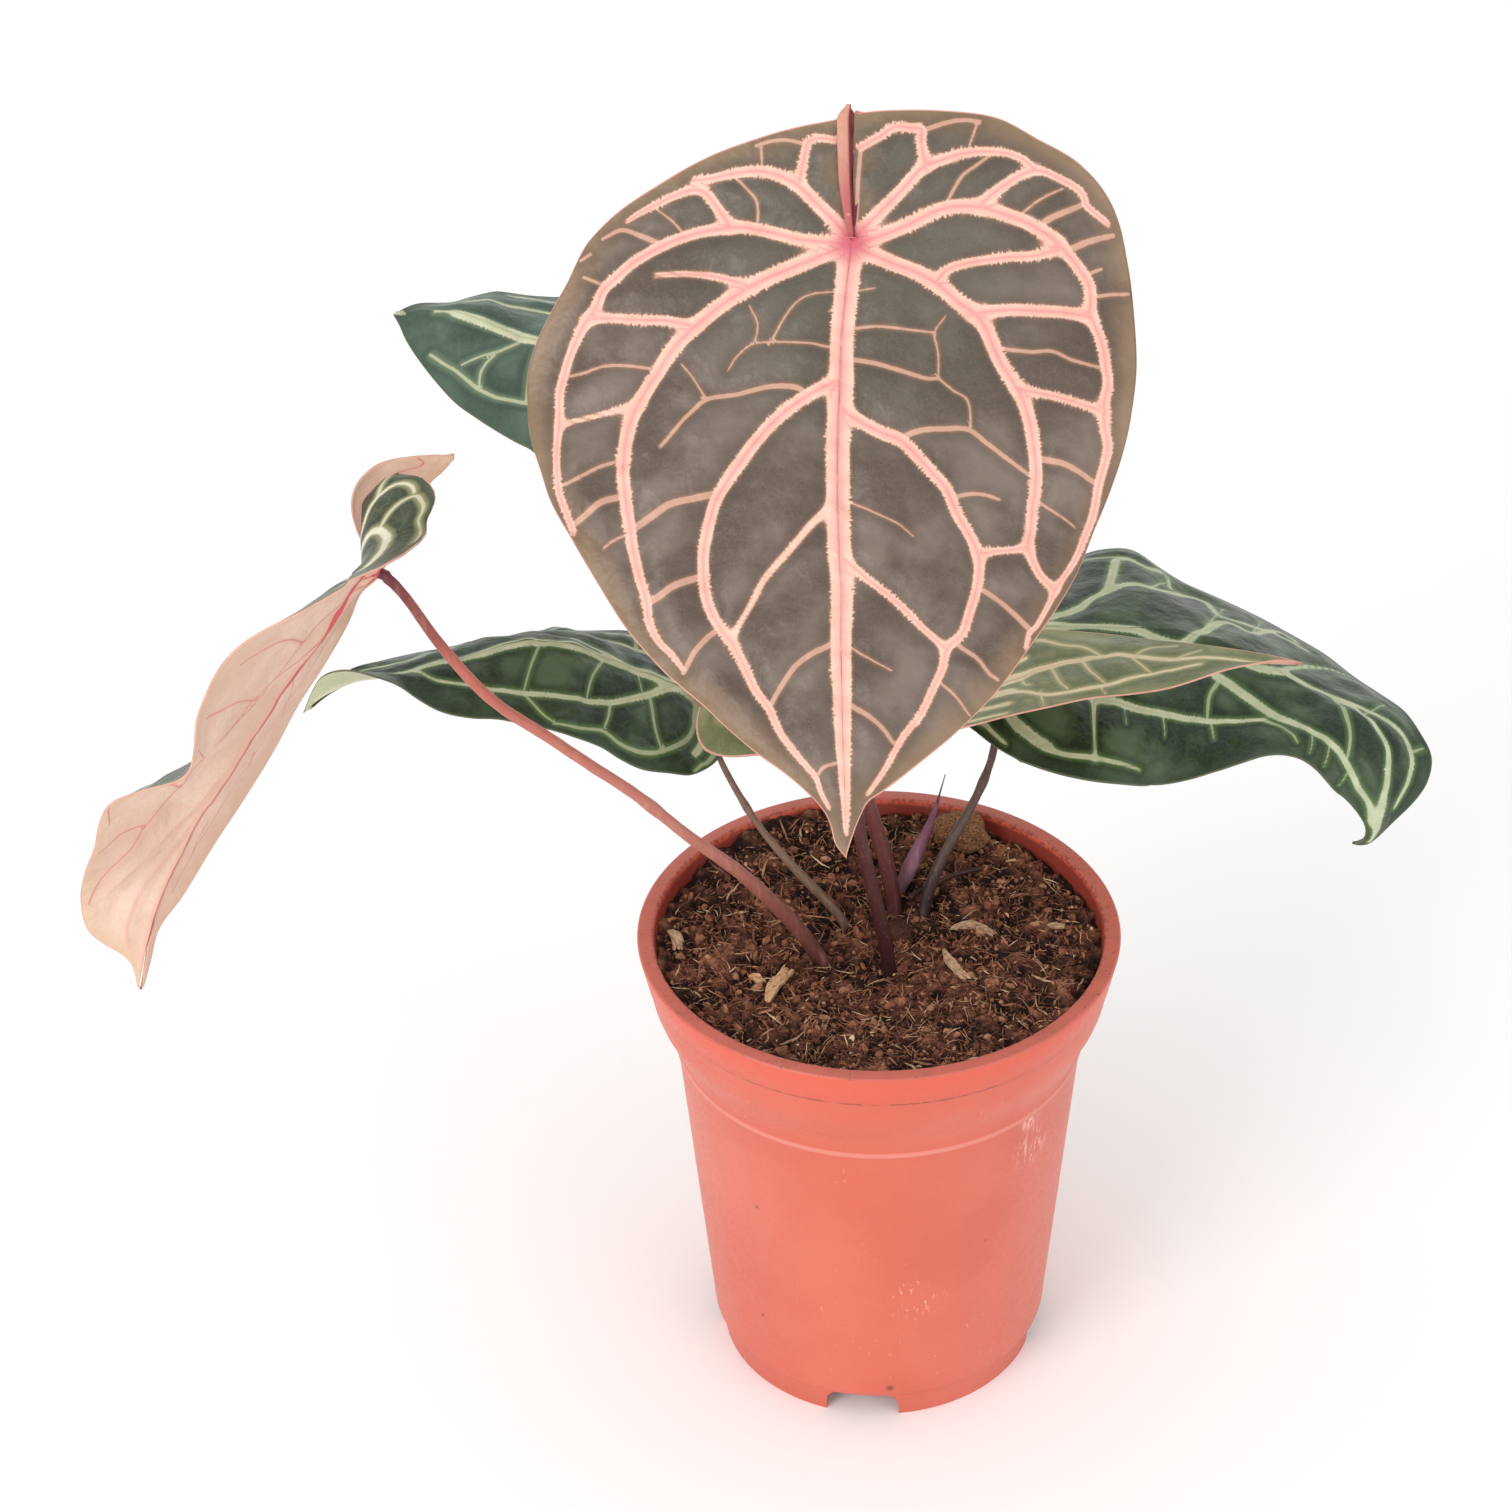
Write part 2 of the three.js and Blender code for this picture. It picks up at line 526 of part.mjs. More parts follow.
// How high a lump's middle lies: just above the highest place of the compost under its middle
// and its ends, or sunk into it.
function lumpHeight({ size, place: [x, y], turn, sunk = 0 }) {
  const along = new THREE.Vector2(size[0] / 2, 0).rotateAround(new THREE.Vector2(), degrees(turn));
  const under = [-1, -0.5, 0, 0.5, 1].map((k) => soilHeight(x + along.x * k, y + along.y * k));
  return Math.max(...under) + size[2] / 2 + fitGap - sunk;
}

// A lump where it stands in the compost; extra makes it larger all round, for its socket.
function standingLump({ size, place: [x, y, z], turn }, extra) {
  const lump = lumpGeometry(size, 10, extra);
  lump.rotateZ(degrees(turn));
  lump.translate(x, y, z);
  return solidFromGeometry(lump);
}

const object = new THREE.Group();
const aroundPotAxis = new THREE.Group();
aroundPotAxis.position.set(-footprintMiddle[0], -footprintMiddle[1], 0);
object.add(aroundPotAxis);

function addPiece(name, geometry, colour, roughness) {
  const material = new THREE.MeshStandardMaterial({ color: colour, roughness, metalness: 0 });
  const mesh = new THREE.Mesh(geometry, material);
  mesh.name = name;
  aroundPotAxis.add(mesh);
  return mesh;
}

function addLump(name, lump, segments, colour) {
  const geometry = geometryFromSolid(solidFromGeometry(lumpGeometry(lump.size, segments)));
  const mesh = addPiece(name, geometry, colour, 0.9);
  mesh.position.set(...lump.place, lumpHeight(lump));
  mesh.rotation.z = degrees(lump.turn);
}

const sockets = [...Object.values(petioles), spike].map((stem) => stemSolid(stem, fitGap));
const crownBody = sockets.reduce((solid, socket) => solid.subtract(socket), standingLump(crown, 0));
const sunkBark = { ...bark, place: [...bark.place, lumpHeight(bark)] };
const pits = [crown, sunkBark].map((lump) => standingLump(lump, fitGap));

addPiece('pot', geometryFromSolid(potSolid()), colours.pot, 0.45);
addPiece('soil', geometryFromSolid(soilSolid([...sockets, ...pits])), colours.soil, 0.95);
addPiece('crown', geometryFromSolid(crownBody), colours.crown, 0.8);
Object.entries(petioles).forEach(([name, stem]) => {
  addPiece(name, geometryFromSolid(stemSolid(stem)), colours.petiole, 0.5);
});
Object.entries(leaves).forEach(([name, leaf]) => {
  addPiece(name, geometryFromSolid(bladeSolid(leaf)), leaf.colour, 0.55);
});
addPiece('new_leaf_spike', geometryFromSolid(stemSolid(spike)), colours.spike, 0.5);
addPiece('dry_root', geometryFromSolid(stemSolid(root)), colours.root, 0.8);
addLump('bark_lump', bark, 10, colours.bark);
Object.entries(chips).forEach(([name, chip]) => addLump(name, chip, 8, colours.chip));

export default object;
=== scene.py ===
# Potted anthurium hybrid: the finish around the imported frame.
# Shapes are drawn in millimetres around the pot's axis and placed in the frame in metres.
import math

import bpy
import numpy as np
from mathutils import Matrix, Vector, noise


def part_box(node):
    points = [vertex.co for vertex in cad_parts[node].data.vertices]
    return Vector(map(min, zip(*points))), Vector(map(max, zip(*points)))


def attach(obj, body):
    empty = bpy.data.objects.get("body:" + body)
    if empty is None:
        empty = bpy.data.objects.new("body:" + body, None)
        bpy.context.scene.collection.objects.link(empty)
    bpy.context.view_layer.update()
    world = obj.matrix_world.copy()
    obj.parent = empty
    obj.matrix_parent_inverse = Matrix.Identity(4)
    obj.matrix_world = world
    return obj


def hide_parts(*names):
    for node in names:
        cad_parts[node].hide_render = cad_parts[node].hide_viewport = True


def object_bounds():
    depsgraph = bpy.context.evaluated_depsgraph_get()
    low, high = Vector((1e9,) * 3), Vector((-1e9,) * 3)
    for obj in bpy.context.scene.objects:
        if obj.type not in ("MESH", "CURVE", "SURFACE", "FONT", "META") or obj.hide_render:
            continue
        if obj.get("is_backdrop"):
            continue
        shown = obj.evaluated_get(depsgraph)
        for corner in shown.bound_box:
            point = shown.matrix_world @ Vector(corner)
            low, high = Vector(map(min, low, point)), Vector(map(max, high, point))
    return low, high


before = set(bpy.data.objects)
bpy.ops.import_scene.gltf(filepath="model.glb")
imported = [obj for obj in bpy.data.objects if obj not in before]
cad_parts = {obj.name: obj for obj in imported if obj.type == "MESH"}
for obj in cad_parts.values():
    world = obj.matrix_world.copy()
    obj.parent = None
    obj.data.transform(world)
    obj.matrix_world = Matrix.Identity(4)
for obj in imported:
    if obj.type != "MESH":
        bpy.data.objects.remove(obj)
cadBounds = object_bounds()
potLow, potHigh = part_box("pot")
potAxis = ((potLow.x + potHigh.x) / 2, (potLow.y + potHigh.y) / 2, 0)
mm = 0.001
randomly = np.random.default_rng(7)


def toFrame(points):
    return np.asarray(points, float) * mm + potAxis


def pick(*things):
    bpy.ops.object.select_all(action="DESELECT")
    for thing in things:
        thing.select_set(True)
    bpy.context.view_layer.objects.active = things[-1]


def getPoints(thing):
    points = np.empty(len(thing.data.vertices) * 3)
    thing.data.vertices.foreach_get("co", points)
    return points.reshape(-1, 3)


def setPoints(thing, points):
    thing.data.vertices.foreach_set("co", np.asarray(points, float).ravel())
    thing.data.update()


def getNormals(thing):
    normals = np.empty(len(thing.data.vertices) * 3)
    thing.data.vertex_normals.foreach_get("vector", normals)
    return normals.reshape(-1, 3)


def setField(thing, name, values):
    field = thing.data.attributes.new(name, "FLOAT", "POINT")
    field.data.foreach_set("value", np.asarray(values, np.float32))


def applyModifier(thing, kind, **values):
    pick(thing)
    bpy.ops.object.modifier_add(type=kind)
    modifier = thing.modifiers[-1]
    for name, value in values.items():
        setattr(modifier, name, value)
    bpy.ops.object.modifier_apply(modifier=modifier.name)


def inEditMode(thing, *steps):  # each step is an operator and its settings
    pick(thing)
    bpy.ops.object.mode_set(mode="EDIT")
    bpy.ops.mesh.select_all(action="SELECT")
    for step, settings in steps:
        step(**settings)
    bpy.ops.object.mode_set(mode="OBJECT")


def addShape(step, **settings):  # a primitive, which is then all that is selected
    bpy.ops.object.select_all(action="DESELECT")
    step(**settings)
    return bpy.context.object


def roughness3d(points, scale, seed):  # smooth noise at each point, about -1 to 1
    offset = Vector((seed * 13.7, seed * 7.1, seed * 3.3))
    return np.array([noise.noise(Vector(p) * scale + offset) for p in points])


def finishPiece(thing, nodes, slotName, *materials):
    for material in materials:
        thing.data.materials.append(material)
    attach(thing, "root")
    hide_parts(*nodes)


# Curves through given values

def curveThrough(places, values, at):  # rounded, and may swing past the values
    x, y = np.asarray(places, float), np.asarray(values, float)
    before, after = np.maximum(np.arange(len(x)) - 1, 0), np.minimum(np.arange(len(x)) + 1, len(x) - 1)
    slopes = ((y[after] - y[before]).T / (x[after] - x[before])).T
    return hermite(x, y, slopes, np.asarray(at, float))


def easeThrough(places, values, at):  # never past the values
    x, y = np.asarray(places, float), np.asarray(values, float)
    steps = (np.diff(y, axis=0).T / np.diff(x)).T
    slopes = np.zeros_like(y)
    product, total = steps[:-1] * steps[1:], steps[:-1] + steps[1:]
    slopes[1:-1] = np.where(product > 0, 2 * product / np.where(product > 0, total, 1), 0)
    return hermite(x, y, slopes, np.clip(at, x[0], x[-1]))


def hermite(x, y, slopes, at):
    i = np.clip(np.searchsorted(x, at, side="right") - 1, 0, len(x) - 2)
    span = x[i + 1] - x[i]
    u = (at - x[i]) / span
    parts = ((1 + 2 * u) * (1 - u) ** 2, span * u * (1 - u) ** 2, u * u * (3 - 2 * u), span * u * u * (u - 1))
    if y.ndim > 1:
        parts = [p[..., None] for p in parts]
    return y[i] * parts[0] + slopes[i] * parts[1] + y[i + 1] * parts[2] + slopes[i + 1] * parts[3]


def lineLengths(points):
    points = np.asarray(points, float)
    return np.concatenate([[0], np.cumsum(np.linalg.norm(np.diff(points, axis=0), axis=1))])


def alongLine(points, part):  # the place at a part, 0 to 1, of a rounded line's length
    lengths = lineLengths(points)
    return curveThrough(lengths / lengths[-1], points, part)


def smoothStep(value, low, high):
    part = np.clip((value - low) / (high - low), 0, 1)
    return part * part * (3 - 2 * part)


def unit(vectors):
    return vectors / np.linalg.norm(vectors, axis=-1, keepdims=True)


# Nodes of a material

def newMaterial(name):
    material = bpy.data.materials.new(name)
    material.use_nodes = True
    material.node_tree.nodes.clear()
    return material


def addNode(material, kind, inputs=(), **settings):
    node = material.node_tree.nodes.new("ShaderNode" + kind)
    for name, value in settings.items():
        setattr(node, name, value)
    for name, value in dict(inputs).items():
        if isinstance(value, bpy.types.NodeSocket):
            material.node_tree.links.new(value, node.inputs[name])
        else:
            node.inputs[name].default_value = value
    return node


studioLight = 1.12  # how much brighter than its own colour the screen shows a surface


def tone(red, green, blue):  # a colour as the screen shows it under the studio light, 0 to 255
    def straight(value):
        value /= 255
        return (value / 12.92 if value < 0.04045 else ((value + 0.055) / 1.055) ** 2.4) / studioLight
    return (straight(red), straight(green), straight(blue), 1)


def field(material, name):
    return addNode(material, "Attribute", attribute_name=name).outputs["Fac"]


def noiseOn(material, vector, scale, detail=3, harsh=0.5):
    return addNode(material, "TexNoise", {"Vector": vector, "Scale": scale, "Detail": detail,
                                          "Roughness": harsh}).outputs["Fac"]


def speckle(material, scale, detail=3, stretch=(1, 1, 1), harsh=0.5):
    place = addNode(material, "TexCoord").outputs["Object"]
    turned = addNode(material, "Mapping", {"Vector": place, "Scale": stretch}).outputs["Vector"]
    return noiseOn(material, turned, scale, detail, harsh)


def maths(material, operation, first, second=0.0):
    return addNode(material, "Math", {0: first, 1: second}, operation=operation).outputs[0]


def times(material, first, second):
    return maths(material, "MULTIPLY", first, second)


def ease(material, value, low, high, start=0.0, end=1.0):
    return addNode(material, "MapRange", {"Value": value, "From Min": low, "From Max": high, "To Min": start,
                                          "To Max": end}, interpolation_type="SMOOTHSTEP").outputs["Result"]


def between(material, value, rise, fall):  # 1 from the rise to the fall
    return times(material, ease(material, value, *rise), ease(material, value, *fall))


def mix(material, part, first, second):
    return addNode(material, "Mix", {0: part, 6: first, 7: second}, data_type="RGBA").outputs[2]


def blendThrough(material, value, stops):  # colours at places from 0 to 1
    ramp = addNode(material, "ValToRGB", {"Fac": value})
    while len(ramp.color_ramp.elements) < len(stops):
        ramp.color_ramp.elements.new(0.5)
    for element, (place, colour) in zip(ramp.color_ramp.elements, stops):
        element.position, element.color = place, colour
    return ramp.outputs["Color"]


def surface(material, colour, roughness, bumps=(), **sockets):
    normal = None
    for height, depth in bumps:  # depth in metres
        inputs = {"Height": height, "Strength": 1.0, "Distance": depth}
        if normal:
            inputs["Normal"] = normal
        normal = addNode(material, "Bump", inputs).outputs["Normal"]
    inputs = {"Base Color": colour, "Roughness": roughness,
              **{k.replace("_", " "): v for k, v in sockets.items()}}
    if normal:
        inputs["Normal"] = normal
    shader = addNode(material, "BsdfPrincipled", inputs)
    addNode(material, "OutputMaterial", {"Surface": shader.outputs[0]})
    return material


# Camera: the photograph's frame, with pixel places in its 1512 x 1512 pixels

photo = {
    "size": 1512,
    "focal": 4030,
    "axisPixel": 879,  # the column that the pot's axis lies on
    "pitch": 34.33,
    "place": (0, -801.73, 724.70),
}
pitch = math.radians(photo["pitch"])
lookForward = np.array([0, math.cos(pitch), -math.sin(pitch)])
lookUp = np.array([0, math.sin(pitch), math.cos(pitch)])


def toPixels(points):
    away = np.asarray(points, float) - photo["place"]
    depth = away @ lookForward
    return np.stack([photo["axisPixel"] + photo["focal"] * away[..., 0] / depth,
                     photo["size"] / 2 - photo["focal"] * (away @ lookUp) / depth], -1)


bpy.ops.object.camera_add(location=toFrame(photo["place"]), rotation=(math.pi / 2 - pitch, 0, 0))
camera = bpy.context.object
camera.data.sensor_width = 36
camera.data.lens = photo["focal"] / photo["size"] * camera.data.sensor_width
camera.data.shift_x = 0.5 - photo["axisPixel"] / photo["size"]
camera.data.clip_start, camera.data.clip_end = 0.05, 20
bpy.context.scene.camera = camera
print("camera set")


# Pot: a turned plastic shell on a notched foot ring

potShape = {
    "sides": 144,
    "profile": [  # radius and height, from the middle of the underside round to the middle of the floor
        (0.02, 8), (38.8, 8), (38.8, 0), (40.8, 0), (41.6, 8), (42.6, 8.3), (43.2, 9.2),
        (50.9, 93.7), (51.4, 94.1), (51.4, 95.1), (51.2, 95.7), (51.8, 98.5), (52.8, 101), (54.3, 103.9),
        (55.7, 106.8), (56.7, 109.8), (57.3, 113), (57.5, 116.2), (57.9, 116.2), (58.2, 116.6), (60, 125),
        (59.6, 125.5), (56.4, 125.5), (56, 125.1),
        (50, 95.4), (42.1, 11), (41.1, 9.6), (0.02, 9.6)],
    "notch": (14, 18.5, 14, 3.4, 40),  # depth, width, height, rounding, ring radius
    "notchTurn": -6,
    "drain": (4.5, 8, 30, 9),  # radius, length, ring radius, height of its middle
    "rounding": 0.3,
    "wall": (43.2, 9, 0.0911),  # radius at a height, and how fast the wall widens from there
}


def cutWith(thing, cutter):
    applyModifier(thing, "BOOLEAN", object=cutter, operation="DIFFERENCE", solver="EXACT")
    bpy.data.objects.remove(cutter)


def turnShell(profile, sides):
    shell = addShape(bpy.ops.mesh.primitive_circle_add, vertices=sides, radius=profile[0][0] * mm)
    bpy.ops.object.mode_set(mode="EDIT")
    bpy.ops.mesh.select_all(action="SELECT")
    bpy.ops.transform.translate(value=(0, 0, profile[0][1] * mm))
    for (radius, height), (nextRadius, nextHeight) in zip(profile, profile[1:]):
        bpy.ops.mesh.extrude_region_move(TRANSFORM_OT_translate={"value": (0, 0, (nextHeight - height) * mm)})
        grow = nextRadius / radius
        bpy.ops.transform.resize(value=(grow, grow, 1), center_override=(0, 0, nextHeight * mm))
    bpy.ops.mesh.select_all(action="SELECT")
    bpy.ops.mesh.remove_doubles(threshold=0.08 * mm)
    bpy.ops.mesh.normals_make_consistent(inside=False)
    bpy.ops.object.mode_set(mode="OBJECT")
    return shell


def aroundPot(radius, degrees, height):
    turn = math.radians(degrees)
    return (radius * math.cos(turn) * mm, radius * math.sin(turn) * mm, height * mm)


def makePot():
    pot = turnShell(potShape["profile"], potShape["sides"])
    pot.name = "plastic_pot"
    deep, wide, tall, rounding, notchRing = potShape["notch"]
    radius, depth, drainRing, height = potShape["drain"]
    for quarter in (0, 90, 180, 270):
        turn = potShape["notchTurn"] + quarter
        notch = addShape(bpy.ops.mesh.primitive_cube_add, size=1)
        notch.scale = (deep * mm, wide * mm, tall * mm)
        notch.rotation_euler = (0, 0, math.radians(turn - 90))
        notch.location = aroundPot(notchRing, turn - 90, 0)
        bpy.ops.object.transform_apply(location=True, rotation=True, scale=True)
        applyModifier(notch, "BEVEL", width=rounding * mm, segments=5, limit_method="ANGLE")
        cutWith(pot, notch)
        cutWith(pot, addShape(bpy.ops.mesh.primitive_cylinder_add, vertices=32, radius=radius * mm,
                              depth=depth * mm, location=aroundPot(drainRing, turn - 45, height)))
    applyModifier(pot, "BEVEL", width=potShape["rounding"] * mm, segments=2, limit_method="ANGLE",
                  angle_limit=math.radians(28))
    inEditMode(pot, (bpy.ops.transform.translate, {"value": potAxis}))
    pick(pot)
    bpy.ops.object.shade_smooth_by_angle(angle=math.radians(35))
    return pot


def near(material, place, reach):  # 1 at a place on the piece, fading to 0 at a distance from it, in mm
    away = addNode(material, "VectorMath", {0: addNode(material, "TexCoord").outputs["Object"],
                                            1: tuple(toFrame(place))}, operation="DISTANCE").outputs["Value"]
    return ease(material, away, reach * mm, 0)


def potMaterial():
    m, look = newMaterial("mouldedPlastic"), potLook
    place = addNode(m, "TexCoord").outputs["Object"]
    centred = addNode(m, "VectorMath", {0: place, 1: tuple(potAxis)}, operation="SUBTRACT").outputs["Vector"]
    parts = addNode(m, "SeparateXYZ", {"Vector": centred}).outputs
    angle = maths(m, "ARCTAN2", parts["Y"], parts["X"])
    radius = maths(m, "SQRT", maths(m, "ADD", times(m, parts["X"], parts["X"]),
                                    times(m, parts["Y"], parts["Y"])))
    height = parts["Z"]
    around = addNode(m, "CombineXYZ", {"X": times(m, angle, 0.056), "Y": height}).outputs["Vector"]
    colour = mix(m, ease(m, speckle(m, 28), 0.35, 0.68), look["colour"], look["bright"])
    colour = mix(m, times(m, ease(m, height, *look["rimFrom"]), 0.75), colour, look["rim"])
    # painted shade: the inner wall above the compost is coloured darker
    inside = times(m, ease(m, height, *look["innerShadeBelow"]), ease(m, radius, *look["innerShadeWithin"]))
    colour = mix(m, times(m, inside, ease(m, height, *look["innerShadeAbove"])), colour, look["inside"])
    # brown smears on the rim, with a dirty line along its inner edge
    onRim = ease(m, height, *look["topFrom"])
    colour = mix(m, times(m, onRim, 0.65), colour, look["top"])
    smear = ease(m, speckle(m, 170, 5, harsh=0.7), 0.42, 0.7)
    colour = mix(m, times(m, smear, times(m, onRim, 0.45)), colour, look["dirt"])
    edgeward = times(m, ease(m, radius, *look["edgeWithin"]), ease(m, height, *look["edgeAbove"]))
    line = times(m, edgeward, ease(m, speckle(m, 900, 4), 0.46, 0.62))
    colour = mix(m, times(m, line, 0.6), colour, look["grimeAndShadow"])
    ticks = times(m, ease(m, speckle(m, 800), 0.64, 0.7), onRim)
    colour = mix(m, times(m, ticks, 0.5), colour, look["grimeAndShadow"])
    # painted shadow under the overhanging rim band, with soil caught in the line there
    ledge = times(m, between(m, height, *look["ledge"]), ease(m, radius, *look["ledgeFrom"]))
    ledge = times(m, ledge, ease(m, noiseOn(m, around, 210, 5, 0.75), 0.42, 0.54))
    colour = mix(m, times(m, ledge, 0.8), colour, look["grimeAndShadow"])
    # pale scuffs along the ridge and on the wall
    sideways = addNode(m, "Mapping", {"Vector": around, "Scale": (1, 0.35, 1)}).outputs["Vector"]
    scuff = noiseOn(m, sideways, 620, 5, 0.7)
    scuffed = times(m, ease(m, scuff, 0.62, 0.72), ease(m, speckle(m, 21, 2), 0.52, 0.66))
    ridge = between(m, height, *look["ridge"])
    scuffed = maths(m, "MAXIMUM", times(m, scuffed, 0.5), times(m, ridge, 0.22))
    for place, reach, dense in look["scuffs"]:
        spot = times(m, near(m, place, reach), ease(m, scuff, dense, dense + 0.09))
        scuffed = maths(m, "MAXIMUM", scuffed, times(m, spot, 0.75))
    colour = mix(m, scuffed, colour, look["scuff"])
    for place, reach in look["dots"]:
        colour = mix(m, times(m, near(m, place, reach), 0.85), colour, look["grimeAndShadow"])
    fine = speckle(m, 900, 2)
    roughness = ease(m, fine, 0.3, 0.7, 0.36, 0.46)
    return surface(m, colour, roughness, [(speckle(m, 140, 2), 0.0003), (fine, 0.00004)],
                   Specular_IOR_Level=0.42)


def onWall(x, y):  # the place on the pot's front wall behind a pixel of the photograph
    ray = lookForward + (x - photo["axisPixel"]) / photo["focal"] * np.array([1, 0, 0])
    ray = ray - (y - photo["size"] / 2) / photo["focal"] * lookUp
    start = np.array(photo["place"])
    reach = np.linspace(900, 1150, 1500)[:, None]
    places = start + ray * reach
    radius, height, slope = potShape["wall"]
    wall = radius + (places[:, 2] - height) * slope
    hit = np.argmax(np.hypot(places[:, 0], places[:, 1]) < wall)
    return tuple(places[hit])


potLook = {
    "colour": tone(214, 101, 79),
    "bright": tone(221, 111, 89),
    "rim": tone(223, 94, 71),
    "top": tone(196, 112, 100),
    # painted shade on the inner wall above the compost
    "inside": tone(146, 58, 46),
    "dirt": tone(176, 96, 80),
    # dirt on the rim and wall, and the painted shadow line under the rim band
    "grimeAndShadow": tone(96, 54, 44),
    "scuff": tone(250, 205, 190),
    # Heights and radii in metres that each of these starts at and is full at
    "rimFrom": (0.1158, 0.1166),
    "innerShadeBelow": (0.1246, 0.1236),
    "innerShadeWithin": (0.0571, 0.0564),
    "innerShadeAbove": (0.1138, 0.1144),
    "topFrom": (0.1248, 0.1254),
    "edgeWithin": (0.0570, 0.0562),
    "edgeAbove": (0.1235, 0.1245),
    "ledge": ((0.1155, 0.1159), (0.1168, 0.1164)),
    "ledgeFrom": (0.0560, 0.0565),
    "ridge": ((0.0940, 0.0946), (0.0958, 0.0952)),
    # Places on the wall and their reach in mm, and how sparse each scuff is
    "scuffs": [(onWall(1032, 1145), 9, 0.5), (onWall(915, 1300), 11, 0.56), (onWall(1030, 1120), 5, 0.46),
               (onWall(880, 1345), 8, 0.6), (onWall(845, 1180), 9, 0.62)],
    "dots": [(onWall(757, 1207), 0.9), (onWall(763, 1315), 0.8), (onWall(890, 1388), 1.6),
             (onWall(985, 1240), 0.5)],
}

pot = makePot()
finishPiece(pot, ["pot"], "pot", potMaterial())
print("pot made:", len(pot.data.polygons), "faces")


# Compost: a bumpy bed with crumbs and loose fibres

compost = {
    "level": 121,
    "dip": (5.9, -1, -4, 650),  # depth, middle and spread, around the stalks
    "heap": (3.4, -26, 50, 450),  # against the wall at the back left
    "radius": 55.0,
    "sides": ((95, 49.6), (12, 41.4), (10.2, 40.4)),  # heights and radii down to its underside
    "bumps": ((0.085, 0.9), (0.24, 0.9)),  # per mm, mm
    "clods": ((0.2, 2.6), (0.5, 1.5)),  # per mm, mm
    "footDip": (1.5, 8),  # depth and spread round each stalk
    "wallRise": (1.2, 43, 54),  # height, and the radii that it starts and is full at
    "swell": 0.35,
    "cuts": 150,
    "crumbs": 2600,
    "crumbSize": (0.3, 0.8),
    "crumbShade": (0.14, 0.68),
    "fibres": 4600,
    "fibreLength": (1.4, 10),
    "fibreRadius": (0.08, 0.17),
    "colours": [(0.0, tone(40, 24, 20)), (0.25, tone(96, 60, 46)), (0.5, tone(154, 102, 78)),
                (0.75, tone(190, 142, 108)), (1.0, tone(236, 208, 170))],
    # Where the stalks go in
    "feet": ((-14.6, 0), (1.9, -3), (-9.9, 14.3), (3.5, 20.3), (11.8, 18.7), (6, 27), (1.8, 34.5)),
}


def soilHeight(x, y):
    dip, heap = [size * np.exp(-((x - middleX) ** 2 + (y - middleY) ** 2) / spread)
                 for size, middleX, middleY, spread in (compost["dip"], compost["heap"])]
    rise, start, end = compost["wallRise"]
    heap = heap + rise * smoothStep(np.hypot(x, y), start, end)
    return compost["level"] - dip + heap + compost["swell"] * np.sin(x / 8 + 1) * np.cos(y / 7)


def soilSurface(x, y):
    points = np.stack([x, y, np.zeros_like(x)], -1)
    height = soilHeight(x, y) + 0.2
    for i, (scale, depth) in enumerate(compost["bumps"]):
        height = height + depth * roughness3d(points, scale, i + 1)
    for i, (scale, depth) in enumerate(compost["clods"]):
        gaps = np.array([noise.voronoi(Vector(p) * scale + Vector((i * 9.1, 3.3, 0)))[0][0] for p in points])
        height = height - depth * np.minimum(gaps, 0.9) ** 2
    depth, spread = compost["footDip"]
    for footX, footY in compost["feet"]:
        height = height - depth * np.exp(-((x - footX) ** 2 + (y - footY) ** 2) / spread)
    return height


def makeBed():
    cuts = compost["cuts"]
    bed = addShape(bpy.ops.mesh.primitive_grid_add, x_subdivisions=cuts, y_subdivisions=cuts, size=2)
    bed.name = "coir_compost"
    flat = getPoints(bed)
    x = flat[:, 0] * np.sqrt(1 - flat[:, 1] ** 2 / 2) * compost["radius"]
    y = flat[:, 1] * np.sqrt(1 - flat[:, 0] ** 2 / 2) * compost["radius"]
    z = soilSurface(x, y)
    wall = 1 + (z - compost["level"]) * 0.2 / compost["radius"] * np.hypot(x, y) / compost["radius"]
    setPoints(bed, toFrame(np.stack([x * wall, y * wall, z], -1)))
    relief = (getPoints(bed)[:, 2] / mm - soilHeight(x, y) + 0.6) / 1.6
    rim = np.maximum(abs(flat[:, 0]), abs(flat[:, 1])) > 0.9999
    bpy.ops.object.mode_set(mode="EDIT")
    bpy.ops.mesh.select_mode(type="EDGE")
    bpy.ops.mesh.select_all(action="DESELECT")
    bpy.ops.object.mode_set(mode="OBJECT")
    for edge in bed.data.edges:
        edge.select = bool(rim[edge.vertices[0]] and rim[edge.vertices[1]])
    bpy.ops.object.mode_set(mode="EDIT")
    lastLevel, lastRadius = compost["level"], compost["radius"]
    for level, radius in compost["sides"]:
        bpy.ops.mesh.extrude_region_move(TRANSFORM_OT_translate={"value": (0, 0, (level - lastLevel) * mm)})
        shrink = radius / lastRadius
        bpy.ops.transform.resize(value=(shrink, shrink, 0),
                                 center_override=(potAxis[0], potAxis[1], level * mm))
        lastLevel, lastRadius = level, radius
    bpy.ops.mesh.edge_face_add()
    bpy.ops.mesh.select_mode(type="VERT")
    bpy.ops.object.mode_set(mode="OBJECT")
    # painted light and shade: the bed is coloured lighter on its bumps and darker in its hollows and in the
    # dips round the stalks
    shade = np.full(len(bed.data.vertices), 0.1)
    shade[:len(relief)] = np.clip(0.2 + 0.46 * relief, -0.1, 0.74)
    setField(bed, "shade", shade)
    return bed


def copyOver(name, pattern, faces, places):  # many copies of one small shape as one mesh
    count, size = len(places), len(pattern)
    mesh = bpy.data.meshes.new(name)
    points = places.reshape(-1, 3)
    allFaces = (np.arange(count)[:, None, None] * size + np.asarray(faces)[None]).reshape(-1, len(faces[0]))
    mesh.from_pydata(points.tolist(), [], allFaces.tolist())
    thing = bpy.data.objects.new(name, mesh)
    bpy.context.collection.objects.link(thing)
    return thing


